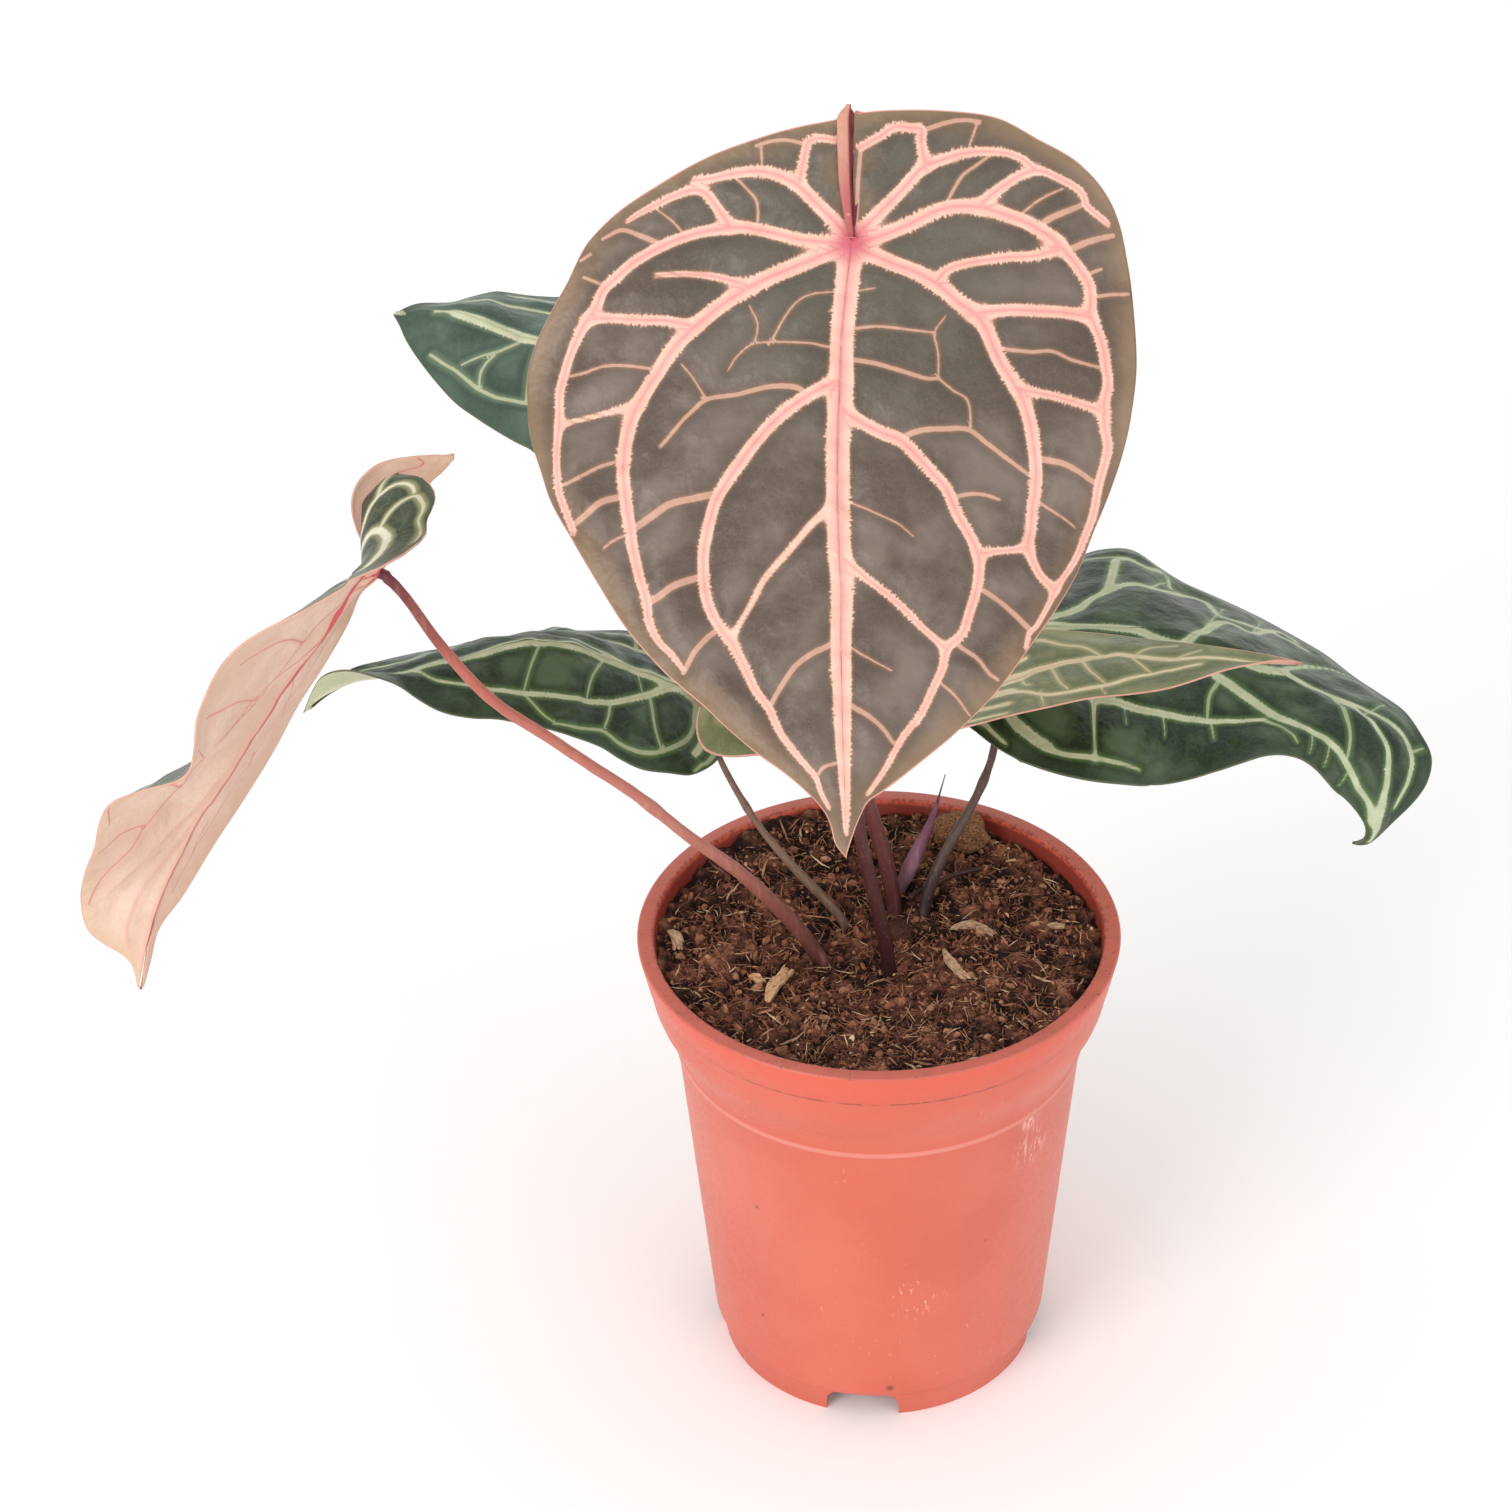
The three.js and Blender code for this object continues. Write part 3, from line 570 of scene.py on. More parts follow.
def turnRandomly(count):  # rotations, any way about the upright axis and tilted a little
    yaw = randomly.uniform(0, 2 * np.pi, count)
    tilt = randomly.normal(0, 0.35, count)
    roll = randomly.uniform(0, 2 * np.pi, count)
    c, s = np.cos, np.sin
    zero, one = np.zeros(count), np.ones(count)
    aboutZ, aboutY, aboutX = [np.stack(terms, -1).reshape(-1, 3, 3) for terms in (
        (c(yaw), -s(yaw), zero, s(yaw), c(yaw), zero, zero, zero, one),
        (c(tilt), zero, s(tilt), zero, one, zero, -s(tilt), zero, c(tilt)),
        (one, zero, zero, zero, c(roll), -s(roll), zero, s(roll), c(roll)))]
    return aboutZ @ aboutY @ aboutX


def scatterPlaces(count, radius):
    angle = randomly.uniform(0, 2 * np.pi, count)
    away = radius * np.sqrt(randomly.uniform(0, 1, count))
    return away * np.cos(angle), away * np.sin(angle)


def fewLarger(count):  # one in ten is larger
    return np.where(randomly.uniform(0, 1, count) > 0.9, 2.3, 1)


def makeCrumbs():
    crumb = addShape(bpy.ops.mesh.primitive_ico_sphere_add, subdivisions=1, radius=1)
    pattern, faces = getPoints(crumb), [tuple(face.vertices) for face in crumb.data.polygons]
    bpy.data.objects.remove(crumb)
    count = compost["crumbs"]
    x, y = scatterPlaces(count, compost["radius"] - 1.5)
    size = randomly.uniform(*compost["crumbSize"], count) * fewLarger(count)
    lumpy = pattern[None] * randomly.uniform(0.7, 1.3, (count, len(pattern), 1))
    squashed = np.stack([np.ones(count), randomly.uniform(0.5, 1, count),
                         randomly.uniform(0.4, 0.8, count)], -1)
    lumpy = lumpy * squashed[:, None, :] * size[:, None, None]
    turned = np.einsum("nij,npj->npi", turnRandomly(count), lumpy)
    middles = np.stack([x, y, soilSurface(x, y) + size * 0.15], -1)
    crumbs = copyOver("crumbs", pattern, faces, toFrame(turned + middles[:, None, :]))
    shade = randomly.uniform(*compost["crumbShade"], count)
    shade = shade + np.where(randomly.uniform(0, 1, count) > 0.96, 0.4, 0)
    setField(crumbs, "shade", np.repeat(shade, len(pattern)))
    return crumbs


def makeFibres():
    steps, sides = 4, 3
    faces = [(i * sides + k, i * sides + (k + 1) % sides, (i + 1) * sides + (k + 1) % sides,
              (i + 1) * sides + k) for i in range(steps - 1) for k in range(sides)]
    count = compost["fibres"]
    x, y = scatterPlaces(count, compost["radius"] - 2.5)
    length = np.clip(randomly.gamma(3.4, 1.0, count), *compost["fibreLength"])
    thick = randomly.uniform(*compost["fibreRadius"], count) * fewLarger(count)
    along = np.linspace(-0.5, 0.5, steps)
    bend = randomly.normal(0, 0.08, (count, 2)) * length[:, None]
    swing = randomly.normal(0, 0.015, count) * length
    spine = np.zeros((count, steps, 3))
    spine[..., 0] = along * length[:, None]
    spine[..., 1] = bend[:, :1] * (1 - 4 * along ** 2) + swing[:, None] * np.sin(along * 9)
    spine[..., 2] = 0.35 * bend[:, 1:] * (1 - 4 * along ** 2)
    taper = np.array([0.35, 1, 0.9, 0.3])
    angles = np.arange(sides) * 2 * np.pi / sides
    ring = np.stack([np.zeros(sides), np.cos(angles), np.sin(angles)], -1)
    tube = spine[:, :, None, :] + ring[None, None] * (thick[:, None] * taper)[:, :, None, None]
    tube = tube.reshape(count, steps * sides, 3)
    yaw = randomly.uniform(0, 2 * np.pi, count)
    tilt = randomly.normal(0, 0.38, count)
    c, s = np.cos, np.sin
    turn = np.stack([c(yaw) * c(tilt), -s(yaw), c(yaw) * s(tilt), s(yaw) * c(tilt), c(yaw), s(yaw) * s(tilt),
                     -s(tilt), np.zeros(count), c(tilt)], -1).reshape(-1, 3, 3)
    turned = np.einsum("nij,npj->npi", turn, tube)
    middles = np.stack([x, y, soilSurface(x, y) + randomly.uniform(0.15, 0.75, count)], -1)
    placed = turned + middles[:, None, :]
    reach = np.hypot(placed[..., 0], placed[..., 1]).max(1)
    placed = placed[reach < compost["radius"] - 0.4]
    shade = 0.3 + randomly.uniform(0, 1, len(placed)) ** 3 * 0.7
    fibres = copyOver("fibres", tube[0], faces, toFrame(placed))
    setField(fibres, "shade", np.repeat(shade, steps * sides))
    return fibres


def soilMaterial():
    m = newMaterial("coir")
    grain = speckle(m, 900, 4)
    value = maths(m, "ADD", field(m, "shade"), times(m, maths(m, "SUBTRACT", grain, 0.5), 0.55))
    clump = maths(m, "SUBTRACT", speckle(m, 170), 0.5)
    value = maths(m, "ADD", value, times(m, clump, 0.35))
    colour = blendThrough(m, value, compost["colours"])
    return surface(m, colour, 0.88, [(grain, 0.0004)], Specular_IOR_Level=0.2)


bed = makeBed()
crumbs, fibres = makeCrumbs(), makeFibres()
pick(crumbs, fibres, bed)
bpy.ops.object.join()
finishPiece(bed, ["soil"], "compost", soilMaterial())
print("compost made:", len(bed.data.polygons), "faces")


# Leaves: each blade bends round its midrib and carries the veins traced on it.
# Spines have their joint third. Outlines are parts of the midrib's length and of the half width.

heart = [(-0.205, 0.1), (-0.19, 0.2), (-0.168, 0.34), (-0.14, 0.5), (-0.1, 0.64), (-0.05, 0.76), (0, 0.84),
    (0.07, 0.93), (0.16, 0.99), (0.25, 1), (0.38, 0.95), (0.5, 0.83), (0.63, 0.66), (0.73, 0.48), (0.83, 0.3),
    (0.9, 0.16), (0.955, 0.06), (1, 0)]
broadTip = [(-0.205, 0.1), (-0.19, 0.2), (-0.168, 0.34), (-0.14, 0.5), (-0.1, 0.64), (-0.05, 0.76), (0, 0.84),
    (0.07, 0.93), (0.16, 0.99), (0.25, 1), (0.38, 0.95), (0.5, 0.87), (0.63, 0.75), (0.73, 0.63),
    (0.83, 0.45), (0.9, 0.27), (0.955, 0.1), (1, 0)]
sinus = [(-0.205, 0.1), (-0.16, 0.04), (-0.08, 0.015), (0, 0)]

leaves = {
    "leaf_front": {
        "piece": "front_leaf", "slot": "olive_leaf", "mesh": (200, 92), "thick": 0.5,
        "spine": [(-6, 18, 342), (-6, 9, 329), (-6, 0, 315), (-7, -22, 290), (-9, -47, 265), (-8, -72, 242),
            (-6, -97, 217)],
        "stations": [-0.2, 0, 0.5, 1],
        "face": [(0, -0.8, 0.6)] * 4,
        "left": {"half": 72, "fold": [3, 3, 4, 6], "curl": [1, 1, 1, 1], "wave": (2, 2.5, 0.1),
                 "edge": [(836, 119), (791, 128), (751, 140), (709, 156), (662, 182), (616, 213), (587, 243),
                     (566, 284), (549, 315), (535, 345), (527, 376), (527, 406), (530, 437), (541, 473),
                     (551, 503), (574, 544), (597, 583), (626, 629), (645, 652), (669, 677), (700, 703),
                     (730, 731), (760, 756), (784, 773), (803, 789), (819, 805), (831, 824), (838, 843),
                     (846, 858)],
                 "notch": [(-26.5, 1.9), (-16, 1.5), (-6, 0.8), (0, 0)]},
        "right": {"half": 64, "fold": [3, 3, 4, 6], "curl": [1, 1, 1, 1], "wave": (2, 2.5, 0.6),
                  "edge": [(856, 113), (890, 110), (941, 110), (996, 117), (1037, 138), (1078, 162),
                      (1105, 192), (1121, 228), (1130, 274), (1135, 320), (1137, 366), (1133, 406),
                      (1125, 447), (1110, 493), (1094, 532), (1079, 570), (1059, 605), (1033, 643),
                      (997, 692), (956, 733), (916, 766), (885, 790), (868, 802), (860, 820), (854, 843),
                      (846, 858)],
                  "notch": [(-28.5, 0.6), (-20, 0.35), (-8, 0.3), (0, 0)]},
        "seen": {"midrib": [(0, 1, [(852, 242), (847, 284), (842, 335), (840, 386), (838, 437), (838, 488),
            (839, 539), (841, 590), (841, 641), (842, 692), (843, 743), (845, 794), (846, 858)])]},
        # the left lobe's inner margin is rolled over: along, where the roll turns, and its width
        "roll": [(-30.4, 0.66, 0.15), (-27, 0.77, 1.05), (-14.5, 0.55, 1.0), (-6, 0.25, 0.6),
            (-0.8, 0, 0.25)],
        "quilt": 2.0,
    },
    "leaf_drooping_left": {
        "piece": "drooping_leaf", "slot": "pale_leaf", "mesh": (150, 64), "thick": 0.5,
        "spine": [(-113, -4, 277), (-119, -18, 265), (-114, -32, 250), (-126, -38, 236), (-141, -44, 216),
            (-153, -48, 198), (-163, -52, 179), (-171, -56, 151)],
        "lobeLength": 1.2,
        "stations": [-0.2, -0.06, 0, 0.3, 0.5, 0.65, 0.8, 1],
        "face": [(-0.9, 0.4, 0.1), (-0.9, 0.4, 0.1), (-0.9, 0.4, 0.1), (-0.9, 0.45, 0), (-0.9, 0.45, 0),
            (-0.9, 0.45, -0.1), (-0.9, 0.45, -0.1), (-0.9, 0.45, -0.1)],
        "left": {"half": 38, "fold": [-5, -10, -10, -10, -10, -10, -12, -15], "curl": [2] * 8,
            "wave": (2, 2, 0.3)},
        "right": {"half": 44, "outline": broadTip, "fold": [45, 40, 6, -5, -4, -12, -45, -65],
            "curl": [34, 30, 3, 1, 2, 2, 2, 2], "wave": (5, 2, 0.9)},
        "template": {"left": (-1, 0.02, 0.5), "right": (-1, 0.02, 0.5)},
        "seen": {
            "midrib": [(0, 1, [(376, 569), (362, 580), (325, 626), (293, 670), (267, 710), (253, 732),
                (223, 779), (198, 815), (180, 848), (163, 890), (150, 930), (139, 988)])],
            "left": [
                (-1, 0, [(455, 454), (442, 470), (429, 481), (410, 515), (392, 550), (374, 578)]),
                (0, 1, [(374, 578), (358, 592), (347, 619), (322, 663), (296, 703), (271, 750), (242, 797),
                    (213, 841), (180, 895), (156, 928), (147, 964), (139, 988)])],
            "leftSinus": [(-1, 0, [(455, 454), (409, 455), (387, 461), (362, 474), (349, 495), (351, 517),
                (362, 543), (376, 569)])],
            "right": [
                (-1, 0, [(398, 472), (423, 477), (436, 495), (431, 514), (416, 539), (394, 557), (372, 570),
                    (350, 581)]),
                (0, 1, [(350, 581), (300, 610), (264, 628), (234, 648), (216, 670), (202, 699), (194, 721),
                    (193, 739), (191, 757), (184, 775), (144, 788), (122, 795), (107, 804), (98, 823),
                    (93, 848), (84, 873), (80, 899), (87, 928), (104, 942), (122, 952), (133, 964),
                    (139, 988)])],
            "rightSinus": [(-1, 0, [(398, 472), (380, 480), (366, 498), (360, 520), (360, 545), (366, 560),
                (376, 569)])],
        },
    },
    "leaf_mid_left": {
        "fading": 0.6,
        "piece": "middle_left_leaf", "slot": "dark_leaf", "mesh": (120, 56), "thick": 0.5,
        "spine": [(-22, 38, 153), (-34, 36, 163), (-45, 34, 170), (-67, 30, 185), (-82, 26, 192),
            (-99, 20, 194), (-119, 15, 192), (-140, 11, 182)],
        "lobeLength": 0.5,
        "stations": [-0.2, 0, 0.15, 0.5, 0.75, 0.88, 1],
        "face": [(0, 0, 1), (0, 0, 1), (0, 0, 1), (0, 0, 1), (0, 0.3, 1), (0, 1, 0.3), (0, 1, -0.2)],
        "left": {"half": 30, "fold": [4, 4, 10, 24, 28, 10, 10], "curl": [3] * 7, "wave": (2, 2, 0.3)},
        "right": {"half": 27, "fold": [25, 25, 25, 25, 25, 20, 10], "curl": [3] * 7, "wave": (2, 2, 0.3)},
        "template": {"left": (-1, 1, 0.5), "right": (-1, -0.02, 0.6)},
        "quilt": 1.8,
        "seen": {
            "midrib": [(0, 1, [(700, 700), (670, 683), (638, 670), (606, 657), (574, 646), (542, 640),
                (504, 645), (478, 653), (440, 662), (405, 670), (378, 675), (345, 684), (320, 696),
                (303, 712)])],
            "left": [(None, 1, [(640, 632), (625, 629), (574, 629), (555, 625), (542, 629), (517, 633),
                (491, 641), (469, 640), (453, 646), (428, 649), (383, 659), (350, 668), (335, 684),
                (318, 698), (303, 712)])],
            "right": [(None, 1, [(719, 759), (711, 766), (692, 774), (670, 772), (644, 769), (622, 759),
                (603, 747), (577, 737), (552, 729), (523, 723), (498, 718), (472, 717), (443, 711),
                (421, 699), (399, 683), (378, 675), (355, 669), (338, 669), (322, 675), (312, 690),
                (303, 712)])],
        },
    },
    "leaf_back_left": {
        "fading": 0.6,
        "piece": "back_left_leaf", "slot": "blue_green_leaf", "mesh": (120, 56), "thick": 0.5,
        "spine": [(-24, 68, 224), (-34, 70, 232), (-44, 72, 238), (-64, 74, 246), (-84, 76, 250),
            (-101, 78, 253), (-120, 80, 254)],
        "stations": [-0.2, 0, 0.5, 1],
        "face": [(0, -0.1, 1), (0, -0.1, 1), (0, -0.1, 1), (-0.1, -0.2, 1)],
        "left": {"half": 42, "fold": [12] * 4, "curl": [2] * 4, "wave": (2, 2, 0.3)},
        "right": {"half": 42, "fold": [15] * 4, "curl": [2] * 4, "wave": (2, 2, 0.3)},
        "template": {"left": (-1, 0.8, 0.6), "right": (-1, 0.35, 0.6)},
        "quilt": 1.4,
        "seen": {
            "midrib": [(None, 1, [(560, 345), (538, 339), (520, 336), (501, 329), (482, 320), (469, 315),
                (450, 310), (435, 310), (412, 311), (393, 314)])],
            "left": [(None, 1, [(556, 296), (527, 294), (497, 290), (485, 292), (469, 296), (451, 301),
                (419, 302), (404, 307), (393, 314)])],
            "right": [(None, 1, [(530, 447), (520, 443), (495, 429), (476, 417), (456, 403), (437, 383),
                (418, 359), (405, 339), (399, 325), (393, 314)])],
        },
    },
    "leaf_big_right": {
        "fading": 0.6,
        "oblique": "right", "piece": "big_right_leaf", "slot": "dark_leaf", "mesh": (150, 70), "thick": 0.5,
        "spine": [(4, 46, 165), (16, 48, 174), (29, 50, 180), (54, 54, 180), (80, 52, 177), (102, 42, 171),
            (120, 30, 165), (127, 21, 152), (117, 16, 136)],
        "lobeLength": 0.8,
        "stations": [-0.2, 0, 0.15, 0.5, 0.8, 1],
        "face": [(0, 0, 1), (0, 0, 1), (0, 0, 1), (0.2, -0.2, 1), (0.9, -0.5, 0.6), (1, -0.6, 0.3)],
        "left": {"half": 46, "fold": [12] * 6, "curl": [2] * 6, "wave": (2, 2, 0.3)},
        "right": {"half": 50, "fold": [2, 0, 2, 32, -5, -15], "curl": [2, 2, 2, 2, 0, 0],
            "wave": (2, 2, 0.3)},
        "template": {"left": (-1, 0.06, 0.7), "right": (-1, 0.12, 0.7)},
        "quilt": 1.5,
        "seen": {
            "midrib": [(None, 1, [(1030, 627), (1049, 627), (1094, 627), (1151, 630), (1199, 636),
                (1236, 648), (1266, 663), (1288, 676), (1320, 697), (1343, 708), (1362, 718), (1378, 737),
                (1387, 762), (1387, 791), (1384, 823), (1371, 842), (1352, 845)])],
            "right": [(None, 1, [(1060, 565), (1086, 552), (1103, 548), (1132, 548), (1158, 565), (1183, 581),
                (1215, 595), (1260, 616), (1295, 635), (1327, 654), (1355, 676), (1384, 695), (1406, 711),
                (1422, 734), (1433, 756), (1429, 781), (1416, 801), (1394, 823), (1378, 839), (1366, 847),
                (1352, 845)])],
            "left": [(None, 1, [(970, 727), (995, 746), (1024, 761), (1056, 772), (1087, 779), (1119, 783),
                (1151, 785), (1183, 780), (1215, 770), (1241, 761), (1263, 754), (1282, 753), (1301, 758),
                (1317, 769), (1336, 791), (1355, 810), (1367, 829), (1365, 842), (1352, 845)])],
        },
    },
    "leaf_young_right": {
        "fading": 0.8,
        "piece": "young_right_leaf", "slot": "light_green_leaf", "mesh": (130, 48), "thick": 0.45,
        "spine": [(-44, 12, 171), (-25, 19, 170), (-7, 25, 171), (33, 20, 187), (57, 18, 193), (78, 12, 198),
            (101, 5, 201)],
        "lobeLength": 1.55,
        "stations": [-0.2, 0, 0.15, 0.5, 0.8, 1],
        "face": [(0, 0.1, 1), (0, 0.1, 1), (0, 0.1, 1), (0, 0.1, 1), (0, 0, 1), (0, 0, 1)],
        "left": {"half": 22, "fold": [-5] * 6, "curl": [2] * 6, "wave": (1, 2, 0.3)},
        "right": {"half": 18, "fold": [-5, -5, -5, -2, -2, 0], "curl": [2] * 6, "wave": (1, 2, 0.3)},
        "template": {"left": (-1, 0.38, 0.5), "right": (-1, 0.4, 0.5)},
        "seen": {
            "midrib": [(None, 1, [(980, 693), (1014, 679), (1049, 670), (1081, 660), (1113, 656), (1151, 659),
                (1196, 659), (1240, 660), (1303, 661)])],
            "right": [(None, 1, [(1046, 628), (1100, 632), (1151, 638), (1199, 643), (1260, 652),
                (1303, 661)])],
            "left": [
                (-1, 0, [(700, 708), (696, 724), (698, 739), (704, 750), (714, 754), (734, 756), (754, 754),
                    (800, 752), (850, 748)]),
                (0, 1, [(850, 748), (910, 738), (970, 724), (1008, 714), (1049, 705), (1087, 697),
                    (1135, 692), (1167, 687), (1196, 678), (1225, 668), (1253, 662), (1279, 658),
                    (1303, 661)])],
            "leftSinus": [(-1, 0, [(700, 708), (722, 700), (770, 702), (850, 714)])],
        },
    },
}


pulling = {"fade": 22, "window": 15}  # mm that a pull fades over, and how many points it is smoothed over


def midribPlaces(leaf):
    lengths = lineLengths(leaf["spine"])
    return lengths - lengths[2]


def squareToView(points, pixels):  # the moves, square to the view, that bring points behind the pixels
    depth = (points - photo["place"]) @ lookForward
    gap = (np.asarray(pixels) - toPixels(points)) * (depth / photo["focal"])[:, None]
    return gap[:, :1] * np.array([1, 0, 0]) - gap[:, 1:] * lookUp


def pullLine(leaf, line, side, seen):  # moves that take a margin, sinus edge or midrib to where it shows
    points = bladePoints(leaf, line[:, 0], line[:, 1], side)
    lengths, shown, part = lineLengths(points), toPixels(points), line[:, 0] / midribPlaces(leaf)[-1]
    moves, known = np.zeros_like(points), np.zeros(len(points), bool)
    for low, high, pixels in seen:
        first = np.argmin(((shown - pixels[0]) ** 2).sum(1)) if low is None else np.argmax(part >= low)
        last = len(part) - 1 if high >= 1 else np.argmax(part >= high)
        run = np.arange(first, last + 1)
        travelled = lineLengths(shown[run])
        moves[run] = squareToView(points[run], alongLine(pixels, travelled / travelled[-1]))
        known[run] = True
    nearest = np.flatnonzero(known)
    for i in np.flatnonzero(~known):
        guide = nearest[np.argmin(abs(lengths[nearest] - lengths[i]))]
        moves[i] = moves[guide] * math.exp(-abs(lengths[guide] - lengths[i]) / pulling["fade"])
    kernel = np.hanning(pulling["window"])
    kernel /= kernel.sum()
    padded = np.pad(moves, ((len(kernel) // 2,) * 2, (0, 0)), mode="edge")
    smooth = np.column_stack([np.convolve(padded[:, k], kernel, "valid") for k in range(3)])
    smooth[-1] = moves[-1]
    return line[:, 0], smooth


def setPulls(leaf):
    seen, length = leaf.get("seen"), midribPlaces(leaf)[-1]
    if not seen:
        return
    midrib = np.column_stack([np.linspace(0, length, 200), np.zeros(200)])
    along, middle = pullLine(leaf, midrib, "left", seen["midrib"])
    pulls = {}
    for side in ("left", "right"):
        inner, behind = leaf[side]["inner"], np.tile(middle[0], (60, 1))
        back = np.linspace(inner[0, 0], 0, 60)
        if side + "Sinus" in seen:
            edge = np.column_stack([back, np.interp(back, inner[:, 0], inner[:, 1])])
            behind = pullLine(leaf, edge, side, seen[side + "Sinus"])[1]
            behind += (middle[0] - behind[-1]) * smoothStep(np.linspace(0, 1, 60), 0.6, 1)[:, None]
        innerPull = (np.concatenate([back[:-1], along]), np.vstack([behind[:-1], middle]))
        outerPull = (leaf[side]["outer"][:, 0], np.zeros((400, 3)))
        if side in seen:
            outerPull = pullLine(leaf, leaf[side]["outer"], side, seen[side])
        outerPull[1][-20:] += (middle[-1] - outerPull[1][-1]) * np.linspace(0, 1, 20)[:, None]
        pulls[side] = (innerPull, outerPull)
    leaf["pulls"] = pulls


def bladePoints(leaf, along, across, side):  # along and across in mm, across 0 or more
    places = midribPlaces(leaf)
    point = curveThrough(places, leaf["spine"], along)
    ahead, behind = [curveThrough(places, leaf["spine"], along + step) for step in (0.05, -0.05)]
    forward = unit(ahead - behind)
    part = along / places[-1]
    half = leaf[side]
    sideways = unit(np.cross(easeThrough(leaf["stations"], leaf["face"], part), forward))
    up = np.cross(forward, sideways)
    fold = np.radians(easeThrough(leaf["stations"], half["fold"], part))
    curl = np.radians(easeThrough(leaf["stations"], half["curl"], part)) / 10
    curl = np.where(abs(curl) < 1e-5, 1e-5, curl)
    out = (np.sin(fold + curl * across) - np.sin(fold)) / curl
    down = (np.cos(fold) - np.cos(fold + curl * across)) / curl
    height, count, phase = half["wave"]
    wave = height * (across / half["half"]) ** 2 * np.sin(2 * np.pi * (count * part + phase))
    out = -out if side == "left" else out
    point = point + sideways * out[:, None] + up * (wave - down)[:, None]
    if "pulls" in leaf:
        (innerPlaces, innerMoves), (outerPlaces, outerMoves) = leaf["pulls"][side]
        low, high = innerAt(leaf, side, along), outerAt(leaf, side, along)
        share = np.clip((across - low) / np.maximum(high - low, 0.5), 0, 1.3)
        for k in range(3):
            inner = np.interp(along, innerPlaces, innerMoves[:, k])
            outer = np.interp(along, outerPlaces, outerMoves[:, k])
            point[:, k] += inner * (1 - share) + outer * share
    return point


def traceOnto(leaf, pixels, side, part=(-0.35, 1.04)):  # where pixels fall on a half, as along and across
    length, wide = midribPlaces(leaf)[-1], leaf[side]["half"] * 1.2
    along, across = [grid.ravel() for grid in np.meshgrid(np.linspace(part[0], part[1], 130) * length,
                                                          np.linspace(-0.06, 1, 60) * wide)]
    seen = toPixels(bladePoints(leaf, along, across, side))
    traced = []
    for pixel in np.asarray(pixels, float):
        close = np.argsort(((seen - pixel) ** 2).sum(1))[:7]
        terms = np.column_stack([seen[close] - pixel, np.ones(len(close))])
        fit = np.linalg.lstsq(terms, np.column_stack([along[close], across[close]]), rcond=None)[0][2]
        low = (along[close].min() - 2, across[close].min() - 2)
        traced.append(np.clip(fit, low, (along[close].max() + 2, across[close].max() + 2)))
    return np.array(traced)


def setOutlines(leaf):
    length = midribPlaces(leaf)[-1]
    for side in ("left", "right"):
        half = leaf[side]
        if "edge" in half:
            outer = traceOnto(leaf, half["edge"], side)
            outer[-1] = (length, 0)
            inner = np.array(half["notch"])
        else:
            stretch = leaf.get("lobeLength", 1)
            tables = (half.get("outline", heart), sinus)
            outer, inner = [np.array([(along * length * (stretch if along < 0 else 1), out * half["half"])
                                      for along, out in table]) for table in tables]
        half["outer"] = alongLine(outer, np.linspace(0, 1, 400))
        half["inner"] = inner


def innerAt(leaf, side, along):  # how far the sinus edge stands off the midrib's line
    inner = leaf[side]["inner"]
    return np.where(along < 0, np.interp(along, inner[:, 0], inner[:, 1]), 0)


def outerAt(leaf, side, along):
    outer = leaf[side]["outer"]
    outer = outer[np.argsort(outer[:, 0])]
    lobe = outer[:, 0] < 0
    outer[lobe, 1] = np.maximum.accumulate(outer[lobe, 1])
    return np.interp(along, outer[:, 0], outer[:, 1])


def makeSheet(rows, columns):
    sheet = addShape(bpy.ops.mesh.primitive_grid_add, x_subdivisions=rows, y_subdivisions=columns, size=1)
    return sheet, getPoints(sheet)[:, 0] + 0.5, getPoints(sheet)[:, 1] + 0.5


def makeHalf(leaf, side):
    half, u, v = makeSheet(*leaf["mesh"])
    if side == "left":
        u = 1 - u
    outer = alongLine(leaf[side]["outer"], u)
    start, end = leaf[side]["inner"][0, 0], midribPlaces(leaf)[-1]
    start = min(start, leaf[side]["outer"][0, 0])
    even = start + (end - start) * u
    along = 0.5 * even + 0.5 * np.clip(outer[:, 0], start, end)
    inner = np.stack([along, innerAt(leaf, side, along)], -1)
    place = inner + (outer - inner) * v[:, None]
    setPoints(half, toFrame(bladePoints(leaf, place[:, 0], place[:, 1], side)))
    setField(half, "along", place[:, 0])
    setField(half, "across", place[:, 1] * (-1 if side == "left" else 1))
    setField(half, "rolled", np.zeros(len(u)))
    return half


def makeRoll(leaf):
    section = np.array([(3.1, 0.75), (2.6, 1.0), (2.0, 1.1), (1.3, 1.0), (0.9, 0.6), (0.7, -0.1), (0.3, -0.8),
        (-0.5, -1.2), (-1.4, -1.2)])
    roll, u, v = makeSheet(60, 20)
    table = np.array(leaf["roll"])
    along = easeThrough([0, 1], table[[0, -1], 0], u)
    turn, wide = easeThrough(table[:, 0], table[:, 1], along), easeThrough(table[:, 0], table[:, 2], along)
    outline = alongLine(section, v)
    across = (outline[:, 0] - 0.9) * wide + turn
    points = bladePoints(leaf, along, across, "left")
    points += unit(np.array(leaf["face"][0], float)) * (outline[:, 1] * np.minimum(wide, 0.8))[:, None]
    setPoints(roll, toFrame(points))
    setField(roll, "along", along)
    setField(roll, "across", -np.maximum(across, 0.01))
    setField(roll, "rolled", 1 + smoothStep(v, 0.28, 0.44))
    inEditMode(roll, (bpy.ops.mesh.flip_normals, {}))
    return roll


def getField(thing, name):
    values = np.empty(len(thing.data.vertices), np.float32)
    thing.data.attributes[name].data.foreach_get("value", values)
    return values.astype(float)


# Veins, traced in the photograph's pixels: width at the start and end in mm, then the points.
# Wide ones are drawn from their edges, and the rest from their middle line.

